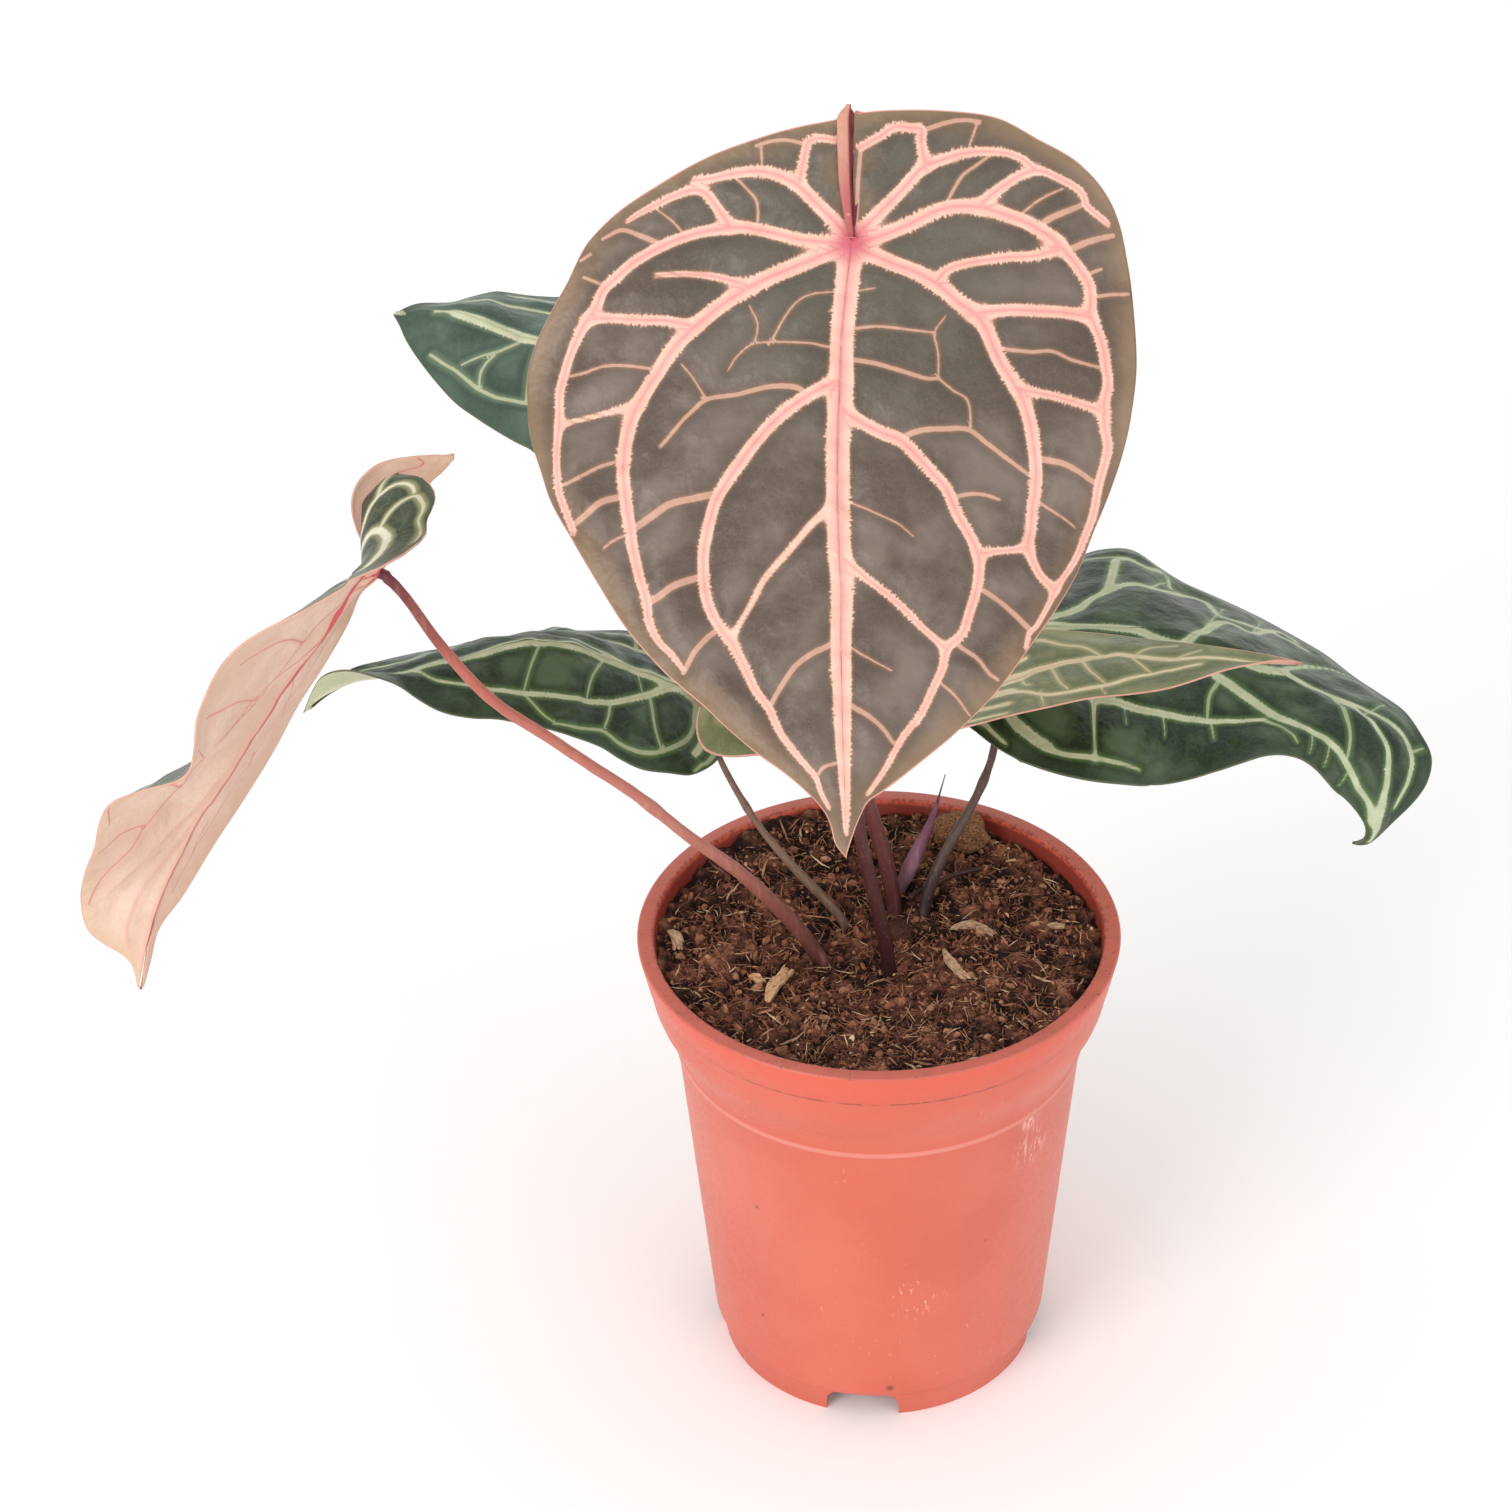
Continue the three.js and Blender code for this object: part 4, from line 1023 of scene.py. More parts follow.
veinMaking = {
    "wide": 1.4,  # from this width on, a vein is drawn from its edges
    "cored": 0.75,  # and from this half width on, its middle line is a little pinker
    "borrowed": 1.8,  # and from this width on, the front leaf's veins are borrowed
    "step": 0.7,
    "reach": 14,
    "far": 30.0,
    "soften": 0.8,  # how softly veins run together
    # How much bolder veins of these widths are drawn, at the start and at the end
    "widths": (0.4, 1.2, 2, 3.2, 4.2),
    "bolder": ((0.85, 0.8, 1.05, 1.05, 1.2), (0.8, 0.9, 1.3, 1.6, 1.6)),
    "taper": ((1, 2.4, 3.3, 3.6, 5), (1, 1.5, 1.8, 2.4, 5)),  # how late a vein of each width thins
}

frontVeins = {
    "left": [
        (4.2, 0.5, [(851, 242), (847, 284), (842, 335), (841, 386), (838, 437), (838, 488), (839, 539),
            (842, 590), (841, 641), (842, 692), (843, 743), (845, 794), (846, 834)]),
        (3.4, 0.6, [(851, 243), (821, 256), (781, 273), (747, 289), (719, 307), (693, 329), (674, 349),
            (656, 375), (643, 396), (632, 417), (626, 440), (623, 464), (624, 487), (626, 505), (629, 525),
            (633, 550), (639, 574), (646, 599), (649, 622), (659, 642), (672, 655), (684, 671)]),
        (2.7, 0.9, [(851, 243), (834, 243), (802, 240), (771, 232), (742, 227), (719, 229), (690, 235),
            (666, 244), (651, 252), (632, 264), (617, 277), (604, 289), (596, 307), (585, 323), (576, 341),
            (568, 362), (562, 383), (559, 404), (559, 425), (557, 446), (557, 469), (559, 493), (567, 515),
            (573, 532)]),
        (3.0, 0.9, [(851, 241), (834, 221), (818, 205), (802, 189), (787, 179), (766, 172), (745, 172),
            (727, 175), (708, 179), (695, 180)]),
        (1.9, 1.2, [(800, 178), (804, 158), (808, 142), (818, 138), (834, 140)]),
        (1.0, 0.9, [(806, 144), (787, 140), (771, 141), (758, 145)]),
        (0.7, 0.5, [(761, 145), (762, 168)]),
        (2.2, 0.8, [(730, 226), (720, 212), (705, 193), (694, 190), (677, 195), (653, 206), (640, 213),
            (627, 221)]),
        (0.7, 0.6, [(757, 226), (757, 202), (747, 189), (737, 179)]),
        (0.6, 0.5, [(684, 234), (672, 221), (656, 209)]),
        (1.5, 0.8, [(662, 245), (640, 236), (622, 230), (604, 238)]),
        (0.9, 0.8, [(589, 255), (581, 260)]),
        (0.9, 0.8, [(603, 285), (585, 278)]),
        (1.7, 0.9, [(750, 287), (732, 281), (713, 276), (687, 274), (656, 276)]),
        (2.0, 1.5, [(693, 326), (664, 321), (638, 320), (604, 318), (588, 320)]),
        (0.8, 0.8, [(650, 368), (625, 366), (604, 367), (585, 374), (569, 376)]),
        (1.6, 1.0, [(638, 404), (606, 414), (585, 419), (560, 425)]),
        (0.9, 0.8, [(623, 458), (598, 469), (577, 480), (559, 486)]),
        (1.5, 1.0, [(627, 494), (604, 502), (590, 512), (571, 526)]),
        (0.7, 0.6, [(631, 532), (614, 540), (604, 548)]),
        (0.7, 0.4, [(840, 347), (831, 347), (808, 344), (755, 344), (737, 357), (729, 370)]),
        (0.4, 0.4, [(755, 344), (758, 325), (750, 307)]),
        (0.8, 0.4, [(842, 312), (830, 311)]),
        (2.8, 0.6, [(841, 379), (813, 393), (797, 403), (774, 422), (755, 443), (740, 464), (727, 482),
            (716, 500), (709, 525), (704, 550), (703, 570), (705, 592), (711, 612), (721, 629), (731, 642),
            (744, 666), (756, 691), (769, 709), (781, 734), (796, 754), (808, 768), (816, 778), (821, 793),
            (829, 808)]),
        (1.4, 0.8, [(806, 394), (797, 388), (768, 388), (737, 395), (708, 400), (690, 414), (674, 432),
            (661, 446)]),
        (0.5, 0.4, [(706, 399), (693, 378), (682, 365)]),
        (1.5, 1.4, [(716, 493), (692, 499), (669, 505), (652, 516), (635, 527)]),
        (1.5, 1.3, [(704, 575), (692, 579), (674, 587), (659, 597), (645, 603)]),
        (1.4, 1.2, [(714, 631), (706, 639), (694, 654), (684, 671)]),
        (1.6, 1.0, [(837, 504), (828, 510), (816, 520), (801, 537), (784, 557), (766, 577), (754, 599),
            (744, 617), (734, 634)]),
        (1.5, 1.0, [(841, 638), (828, 646), (813, 654), (796, 667), (784, 684), (771, 703)]),
        (0.9, 0.8, [(843, 760), (836, 763), (823, 768), (816, 778)]),
        (0.6, 0.4, [(770, 344), (800, 300), (842, 290)]),
    ],
    "right": [
        (3.2, 1.1, [(854, 244), (866, 252), (892, 263), (918, 273), (939, 286), (958, 302), (979, 317),
            (992, 341), (1002, 364), (1018, 391), (1028, 417), (1033, 443), (1036, 469), (1035, 493),
            (1033, 505), (1031, 530), (1028, 547), (1039, 572), (1054, 589)]),
        (1.7, 1.7, [(1028, 547), (1014, 550), (994, 552), (978, 555)]),
        (2.8, 0.6, [(854, 243), (871, 239), (905, 226), (939, 210), (960, 206), (984, 208), (1007, 215),
            (1028, 223), (1046, 234), (1062, 247), (1075, 263), (1088, 283), (1091, 299), (1090, 312),
            (1095, 325), (1101, 341), (1105, 362), (1108, 383), (1104, 404), (1105, 427), (1108, 448),
            (1104, 466), (1099, 485), (1094, 512), (1086, 535), (1074, 562), (1056, 589), (1049, 604),
            (1036, 627), (1030, 632), (1026, 649)]),
        (2.8, 0.8, [(854, 241), (861, 231), (879, 213), (900, 192), (916, 174), (926, 166), (945, 159),
            (965, 153), (986, 151), (1007, 153), (1023, 159), (1031, 166)]),
        (2.0, 1.3, [(925, 167), (921, 142), (921, 129), (911, 128), (895, 127), (879, 137), (861, 147)]),
        (1.3, 0.9, [(921, 131), (942, 124), (960, 120), (978, 121)]),
        (1.2, 0.9, [(861, 147), (860, 158), (858, 181), (857, 208), (855, 228)]),
        (0.7, 0.5, [(978, 121), (968, 150)]),
        (2.2, 0.8, [(980, 206), (986, 200), (1002, 187), (1023, 174), (1041, 171), (1060, 179), (1075, 187),
            (1083, 195), (1086, 205), (1091, 210), (1101, 218), (1109, 225)]),
        (1.5, 1.0, [(1040, 228), (1046, 221), (1062, 213), (1080, 206)]),
        (0.7, 0.5, [(1016, 219), (1023, 213), (1039, 200), (1062, 189)]),
        (0.9, 0.8, [(942, 209), (947, 202), (955, 187), (963, 175), (978, 164), (992, 153)]),
        (1.4, 0.8, [(1066, 252), (1075, 247), (1094, 240), (1112, 236)]),
        (0.9, 0.8, [(1083, 276), (1091, 273), (1099, 270)]),
        (0.9, 0.8, [(1091, 297), (1112, 295), (1127, 294)]),
        (1.9, 1.5, [(936, 282), (947, 270), (965, 264), (986, 260), (1010, 257), (1033, 256), (1058, 249)]),
        (2.4, 1.9, [(972, 314), (984, 312), (1010, 310), (1039, 311), (1062, 312), (1088, 316)]),
        (1.0, 0.8, [(996, 346), (1010, 349), (1031, 353), (1052, 353), (1070, 361), (1086, 365),
            (1105, 368)]),
        (1.8, 1.2, [(1018, 388), (1026, 391), (1046, 395), (1070, 400), (1088, 406), (1104, 412)]),
        (1.5, 1.0, [(1034, 457), (1041, 459), (1062, 464), (1080, 473), (1097, 484)]),
        (0.7, 0.6, [(1034, 500), (1039, 502), (1051, 510), (1061, 517), (1074, 527)]),
        (0.6, 0.4, [(846, 292), (856, 291), (874, 289)]),
        (0.8, 0.5, [(844, 329), (856, 328), (879, 327), (911, 331), (933, 333)]),
        (0.5, 0.4, [(933, 333), (938, 354), (938, 378)]),
        (0.4, 0.4, [(933, 333), (945, 317)]),
        (1.3, 0.8, [(842, 357), (853, 359), (879, 365), (903, 372), (926, 379), (938, 379)]),
        (0.7, 0.4, [(938, 379), (952, 391), (967, 401), (971, 430)]),
        (2.7, 0.6, [(840, 405), (845, 412), (861, 422), (882, 433), (900, 440), (916, 456), (931, 472),
            (947, 490), (957, 515), (967, 532), (976, 550), (979, 562), (977, 587), (969, 614), (962, 634),
            (947, 649), (942, 669), (932, 691), (920, 716), (905, 734), (895, 751), (887, 766), (878, 780),
            (868, 794)]),
        (1.4, 0.8, [(894, 440), (900, 438), (918, 432), (944, 430), (968, 430), (986, 443), (1007, 459),
            (1028, 474)]),
        (1.2, 0.8, [(955, 497), (964, 495), (982, 495), (997, 499)]),
        (1.7, 1.2, [(838, 553), (845, 560), (865, 577), (885, 592), (905, 609), (922, 627), (942, 646)]),
        (1.3, 1.3, [(977, 586), (987, 592), (1002, 604), (1017, 617), (1030, 629)]),
        (1.2, 0.8, [(955, 642), (962, 649), (977, 661), (989, 674), (997, 679)]),
        (0.7, 0.5, [(938, 680), (944, 686), (957, 699), (969, 714)]),
        (1.4, 0.8, [(843, 699), (852, 706), (867, 716), (882, 729), (894, 743)]),
        (0.6, 0.4, [(840, 498), (847, 500), (877, 515), (897, 525), (912, 537)]),
        (0.6, 0.4, [(842, 643), (850, 647), (865, 657), (890, 671)]),
    ],
}

midLeftVeins = {
    "right": [
        (1.8, 0.8, [(690, 690), (670, 683), (638, 670), (606, 657), (574, 646), (542, 640), (504, 645),
            (478, 653)]),
        (1.8, 0.9, [(690, 688), (676, 686), (644, 696), (612, 702), (587, 701), (555, 697), (523, 694),
            (491, 689), (459, 684), (434, 680), (415, 670)]),
        (1.5, 0.9, [(697, 700), (695, 715), (689, 737), (667, 750), (644, 753), (619, 743), (603, 731),
            (580, 728), (555, 723)]),
        (1.2, 0.9, [(612, 702), (608, 716), (603, 731)]),
        (1.2, 0.9, [(650, 694), (652, 722), (660, 750)]),
        (1.0, 0.8, [(606, 657), (590, 680), (587, 701)]),
        (1.0, 0.8, [(542, 640), (530, 668), (523, 694)]),
        (0.9, 0.8, [(523, 694), (540, 712), (555, 723)]),
        (0.6, 0.5, [(491, 689), (500, 706), (520, 716)]),
        (0.6, 0.5, [(638, 670), (640, 684), (644, 696)]),
    ],
}
backLeftVeins = {
    "right": [
        (1.8, 0.9, [(560, 345), (538, 339), (520, 336), (501, 329), (482, 320), (469, 315), (450, 310),
            (435, 311)]),
        (1.2, 0.8, [(520, 341), (507, 349), (497, 353), (463, 365)]),
        (1.4, 0.8, [(560, 412), (525, 405), (507, 401), (495, 398), (479, 390), (469, 382), (456, 371),
            (444, 364), (431, 355)]),
        (1.1, 0.9, [(540, 340), (530, 372), (526, 405)]),
        (0.9, 0.8, [(497, 353), (482, 372), (479, 390)]),
    ],
}
bigRightVeins = {
    "right": [
        (2.4, 1.6, [(1030, 627), (1055, 626), (1098, 626), (1131, 629), (1156, 634), (1193, 640), (1236, 650),
            (1266, 665), (1284, 672), (1306, 683), (1327, 694), (1346, 704), (1364, 716), (1379, 731),
            (1387, 750), (1388, 772), (1385, 799), (1379, 824), (1370, 842)]),
        (2.0, 1.2, [(1050, 618), (1073, 611), (1095, 596), (1119, 588), (1150, 587), (1174, 593), (1199, 602),
            (1220, 612), (1242, 619), (1266, 625), (1284, 634), (1310, 650)]),
        (1.9, 1.2, [(1108, 590), (1113, 572), (1119, 561), (1134, 564), (1147, 570), (1162, 576),
            (1171, 585)]),
        (1.3, 1.1, [(1070, 564), (1090, 561), (1119, 562)]),
        (2.1, 1.2, [(1186, 638), (1205, 631), (1226, 628), (1254, 630), (1278, 636), (1297, 644)]),
        (1.6, 1.0, [(1282, 671), (1303, 665), (1327, 668), (1350, 676)]),
        (2.0, 1.0, [(1338, 701), (1358, 706), (1376, 714), (1392, 726), (1407, 737), (1411, 752), (1411, 770),
            (1404, 790), (1395, 808)]),
        (0.9, 0.6, [(1150, 588), (1166, 582)]),
        (0.8, 0.6, [(1205, 630), (1225, 614)]),
        (0.7, 0.6, [(1254, 630), (1262, 622)]),
        (0.8, 0.6, [(1364, 714), (1384, 706)]),
        (0.8, 0.6, [(1411, 752), (1424, 748)]),
    ],
    "left": [
        (2.0, 1.2, [(1085, 695), (1100, 699), (1119, 702), (1144, 711), (1174, 717), (1205, 721), (1235, 722),
            (1263, 719)]),
        (2.1, 1.2, [(1200, 664), (1217, 677), (1235, 689), (1260, 706), (1281, 718), (1312, 732), (1340, 753),
            (1350, 769), (1358, 787), (1369, 804), (1371, 824)]),
        (1.7, 1.4, [(1094, 697), (1094, 729), (1095, 757)]),
        (1.7, 1.0, [(1004, 708), (1010, 718), (1027, 735), (1052, 750), (1082, 757), (1104, 760),
            (1141, 770)]),
        (1.5, 1.1, [(1220, 680), (1209, 698), (1207, 720)]),
        (1.3, 0.8, [(1263, 719), (1280, 726), (1297, 742)]),
        (1.4, 0.9, [(1340, 702), (1346, 720), (1349, 744), (1346, 764)]),
        (0.9, 0.6, [(1163, 717), (1164, 738)]),
        (0.9, 0.6, [(1211, 722), (1214, 741)]),
        (0.6, 0.5, [(1312, 732), (1310, 752)]),
        (0.6, 0.5, [(1330, 745), (1325, 765)]),
        (0.6, 0.5, [(1350, 769), (1340, 785)]),
        (0.6, 0.5, [(1125, 705), (1126, 724)]),
    ],
}
youngVeins = {
    "right": [
        (1.2, 0.9, [(1038, 640), (1061, 644), (1082, 648), (1101, 654)]),
        (0.7, 0.5, [(1131, 655), (1150, 646), (1175, 645)]),
        (0.6, 0.5, [(1174, 657), (1200, 650)]),
    ],
    "left": [
        (2.1, 0.8, [(980, 693), (1010, 681), (1052, 668), (1082, 659), (1107, 655), (1131, 655), (1174, 658),
            (1214, 658), (1260, 660)]),
        (1.6, 0.8, [(985, 700), (1000, 696), (1021, 692), (1052, 689), (1082, 689), (1113, 683), (1144, 674),
            (1174, 668), (1200, 664)]),
        (1.0, 0.7, [(1052, 668), (1062, 680), (1068, 689)]),
        (1.0, 0.7, [(1082, 660), (1092, 674), (1107, 684)]),
        (0.9, 0.6, [(1131, 656), (1144, 666), (1152, 672)]),
        (0.9, 0.7, [(1021, 678), (1025, 686), (1030, 691)]),
        (0.6, 0.5, [(1040, 690), (1046, 700)]),
        (0.6, 0.5, [(1100, 686), (1105, 692)]),
    ],
}
droopingVeins = {
    "right": [
        (3.0, 0.9, [(376, 569), (362, 580), (325, 626), (293, 670), (267, 710), (253, 732), (223, 779),
            (198, 815), (180, 848), (163, 890), (150, 930), (142, 970)]),
        (1.3, 0.9, [(370, 575), (345, 596), (302, 641), (258, 699), (220, 743), (180, 786), (147, 823),
            (104, 873), (89, 899)]),
        (1.4, 0.7, [(302, 641), (285, 639), (265, 646), (240, 662)]),
        (1.5, 0.7, [(258, 699), (234, 704), (218, 711), (206, 718)]),
        (1.6, 0.7, [(253, 732), (225, 770), (190, 812), (150, 850), (110, 890)]),
        (1.6, 0.6, [(223, 779), (195, 820), (165, 855), (142, 888), (128, 922), (130, 950)]),
        (1.2, 0.5, [(180, 786), (150, 791), (130, 800), (108, 822)]),
        (1.0, 0.5, [(147, 823), (120, 834), (98, 850)]),
        (1.0, 0.5, [(200, 760), (205, 758), (196, 750)]),
        (1.0, 0.5, [(325, 626), (300, 655), (262, 690), (230, 730), (214, 745)]),
    ],
    "left": [
        (1.2, 0.6, [(366, 583), (345, 612), (318, 655), (285, 705), (255, 752), (225, 800), (195, 845),
            (172, 890)]),
        (1.0, 0.5, [(293, 680), (288, 700), (282, 716)]),
        (1.0, 0.5, [(253, 752), (248, 768), (240, 782)]),
        (1.0, 0.5, [(206, 822), (196, 838), (190, 856)]),
    ],
}
traced = {"leaf_front": frontVeins, "leaf_mid_left": midLeftVeins, "leaf_back_left": backLeftVeins,
          "leaf_big_right": bigRightVeins, "leaf_young_right": youngVeins,
          "leaf_drooping_left": droopingVeins}


def placeVeins(name, leaf):  # every vein as along and signed across, with its half width at each point
    veins = []
    for side, lines in traced[name].items():
        sign = -1 if side == "left" else 1
        for start, end, pixels in lines:
            rough = traceOnto(leaf, pixels, side) * (1, sign)
            count = max(int(lineLengths(rough)[-1] / veinMaking["step"]), 3)
            points = alongLine(rough, np.linspace(0, 1, count))
            if side == leaf.get("oblique") and count > 12:  # hardly seen, so the traced line wavers
                padded = np.pad(points, ((8, 8), (0, 0)), mode="reflect", reflect_type="odd")
                points = np.column_stack([np.convolve(padded[:, k], np.hanning(19)[1:-1] / 9, "valid")
                                          for k in range(2)])
            end *= leaf.get("fading", 1)
            start, end = [size * np.interp(start, veinMaking["widths"], factors)
                          for size, factors in zip((start, end), veinMaking["bolder"])]
            taper = np.linspace(0, 1, count) ** np.interp(start, *veinMaking["taper"])
            veins.append((points, (start + (end - start) * taper) / 2))
    if name == "leaf_front":
        leaf["pattern"] = veins
    return veins


def borrowVeins(leaf, front):  # the front leaf's veins, fitted to a part of another leaf
    frontLength, length = midribPlaces(front)[-1], midribPlaces(leaf)[-1]
    borrowed = []
    for side, (low, high, thin) in leaf.get("template", {}).items():
        sign = -1 if side == "left" else 1
        for points, halfWidth in front["pattern"]:
            if (points[:, 1] * sign).mean() < -0.5 or halfWidth[0] * 2 < veinMaking["borrowed"]:
                continue
            part = points[:, 0] / frontLength
            share = (points[:, 1] * sign) / outerAt(front, side, points[:, 0])
            stretch = np.where(part < 0, leaf.get("lobeLength", 1), 1)
            along = part * length * stretch
            across = np.clip(share, -0.02, 1) * outerAt(leaf, side, along) * sign
            keep = (part >= low) & (part <= high)
            if keep.sum() > 3:
                borrowed.append((np.column_stack([along, across])[keep], halfWidth[keep] * thin))
    return borrowed


def takeNearer(best, values, close, gap):  # where this vein is nearer than the last ones, its values are kept
    better = gap < best[0][close]
    for kept, value in zip(best, (gap, *values)):
        kept[close[better]] = value[better]


def veinFields(places, veins):  # what the finish needs to know at each place on a blade
    far, reach, soften = veinMaking["far"], veinMaking["reach"], veinMaking["soften"]
    names = ("edge", "broad", "spur", "coreNear", "coreSide", "coreWide", "fineNear", "fineSide", "fineWide")
    starts = (far, 1.0, 0.0, far, far, 1.0, far, far, 0.3)
    fields = {key: np.full(len(places), start) for key, start in zip(names, starts)}
    wideOnes, cores, fineOnes = [[fields[key] for key in names[k:k + 3]] for k in (0, 3, 6)]
    soft = np.zeros(len(places))
    for index, (points, halfWidth) in enumerate(veins):
        low, high = points.min(0) - reach, points.max(0) + reach
        close = np.flatnonzero(((places > low) & (places < high)).all(1))
        if not len(close):
            continue
        directions = unit(np.gradient(points, axis=0) + 1e-9)
        away = places[close][:, None, :] - points[None]
        gap = np.sqrt((away ** 2).sum(2))
        best = (gap - halfWidth).argmin(1)
        rows = np.arange(len(close))
        away, gap, wide, forward = away[rows, best], gap[rows, best], halfWidth[best], directions[best]
        signed = forward[:, 0] * away[:, 1] - forward[:, 1] * away[:, 0]
        inside = (best > 0) & (best < len(points) - 1)
        gap = np.where(inside, np.minimum(abs(signed), gap), gap)
        travelled = lineLengths(points)[best] + (away * forward).sum(1)
        distance = gap - wide
        if halfWidth[0] * 2 < veinMaking["wide"]:
            takeNearer(fineOnes, (signed, wide), close, distance)
            continue
        soft[close] += np.exp(-np.clip(distance, -3, reach) / soften)
        spur = travelled + index * 17.3 + np.sign(signed) * 3.1
        takeNearer(wideOnes, (wide, spur), close, distance)
        if halfWidth[0] > veinMaking["cored"]:
            takeNearer(cores, (signed, wide), close, gap)
    edge = fields.pop("edge")
    vein = np.where(soft > 0, -soften * np.log(np.maximum(soft, 1e-20)), far)
    vein = np.minimum(np.maximum(vein, edge - 1.2), edge)
    return {"vein": np.minimum(vein, far), **fields}


def marginGap(leaf, places):
    gap = np.full(len(places), 1e3)
    for side, sign in (("left", -1), ("right", 1)):
        line = np.vstack([leaf[side]["inner"], leaf[side]["outer"]]) * (1, sign)
        mine = places[:, 1] * sign >= 0
        away = places[mine][:, None, :] - line[None]
        gap[mine] = np.sqrt((away ** 2).sum(2)).min(1)
    return gap


def makeLeaf(name, leaf, veins, materials):
    parts = [makeHalf(leaf, "left"), makeHalf(leaf, "right")]
    if "roll" in leaf:
        parts.append(makeRoll(leaf))
    pick(*parts)
    bpy.ops.object.join()
    blade = bpy.context.object
    blade.name = leaf["piece"]
    inEditMode(blade, (bpy.ops.mesh.remove_doubles, {"threshold": 0.02 * mm}),
               (bpy.ops.mesh.delete_loose, {}))
    places = np.column_stack([getField(blade, "along"), getField(blade, "across")])
    fields = veinFields(places, veins)
    fields["margin"] = marginGap(leaf, places)
    fields["joint"] = np.hypot(places[:, 0], places[:, 1])
    # the blade swells between its veins and ripples, and lies flat at its margin
    quilt = smoothStep(fields["vein"], 0.0, 4.5) * 0.5 + smoothStep(fields["fineNear"], 0, 3) * 0.22
    flat = smoothStep(fields["margin"], 0.5, 8.0)
    flatPlaces = np.column_stack([places, np.zeros(len(places))])
    ripple = roughness3d(flatPlaces, 0.07, 4) * 0.5 + roughness3d(flatPlaces * (1, 0.6, 1), 0.22, 7) * 0.28
    lift = (quilt * flat + ripple * flat) * leaf.get("quilt", 1.0) - 0.3
    lift = np.where(getField(blade, "rolled") > 0, 0, lift)
    setPoints(blade, getPoints(blade) + getNormals(blade) * lift[:, None] * mm)
    for key, values in fields.items():
        setField(blade, key, values)
    for material in materials:
        blade.data.materials.append(material)
    # thicker along the midrib, where a keel runs under it, and along the ribs
    thick = blade.vertex_groups.new(name="thick")
    keel = 1 - smoothStep(abs(places[:, 1]), 0.4, 2.2)
    keel = keel * (1 - 0.75 * smoothStep(places[:, 0], 0, midribPlaces(leaf)[-1] * 0.9)) * (places[:, 0] > -1)
    ribs = (1 - smoothStep(fields["vein"], -0.8, 0.3)) * 0.22
    weights = np.round(np.clip(0.35 + 0.65 * np.maximum(keel, ribs), 0, 1), 2)
    for weight in np.unique(weights):
        thick.add(np.flatnonzero(weights == weight).tolist(), float(weight), "REPLACE")
    applyModifier(blade, "SOLIDIFY", thickness=leaf["thick"] / 0.35 * mm, offset=-1, vertex_group="thick",
                  use_rim=True, material_offset=1, material_offset_rim=2, use_even_offset=False)
    pick(blade)
    bpy.ops.object.shade_smooth()
    return blade


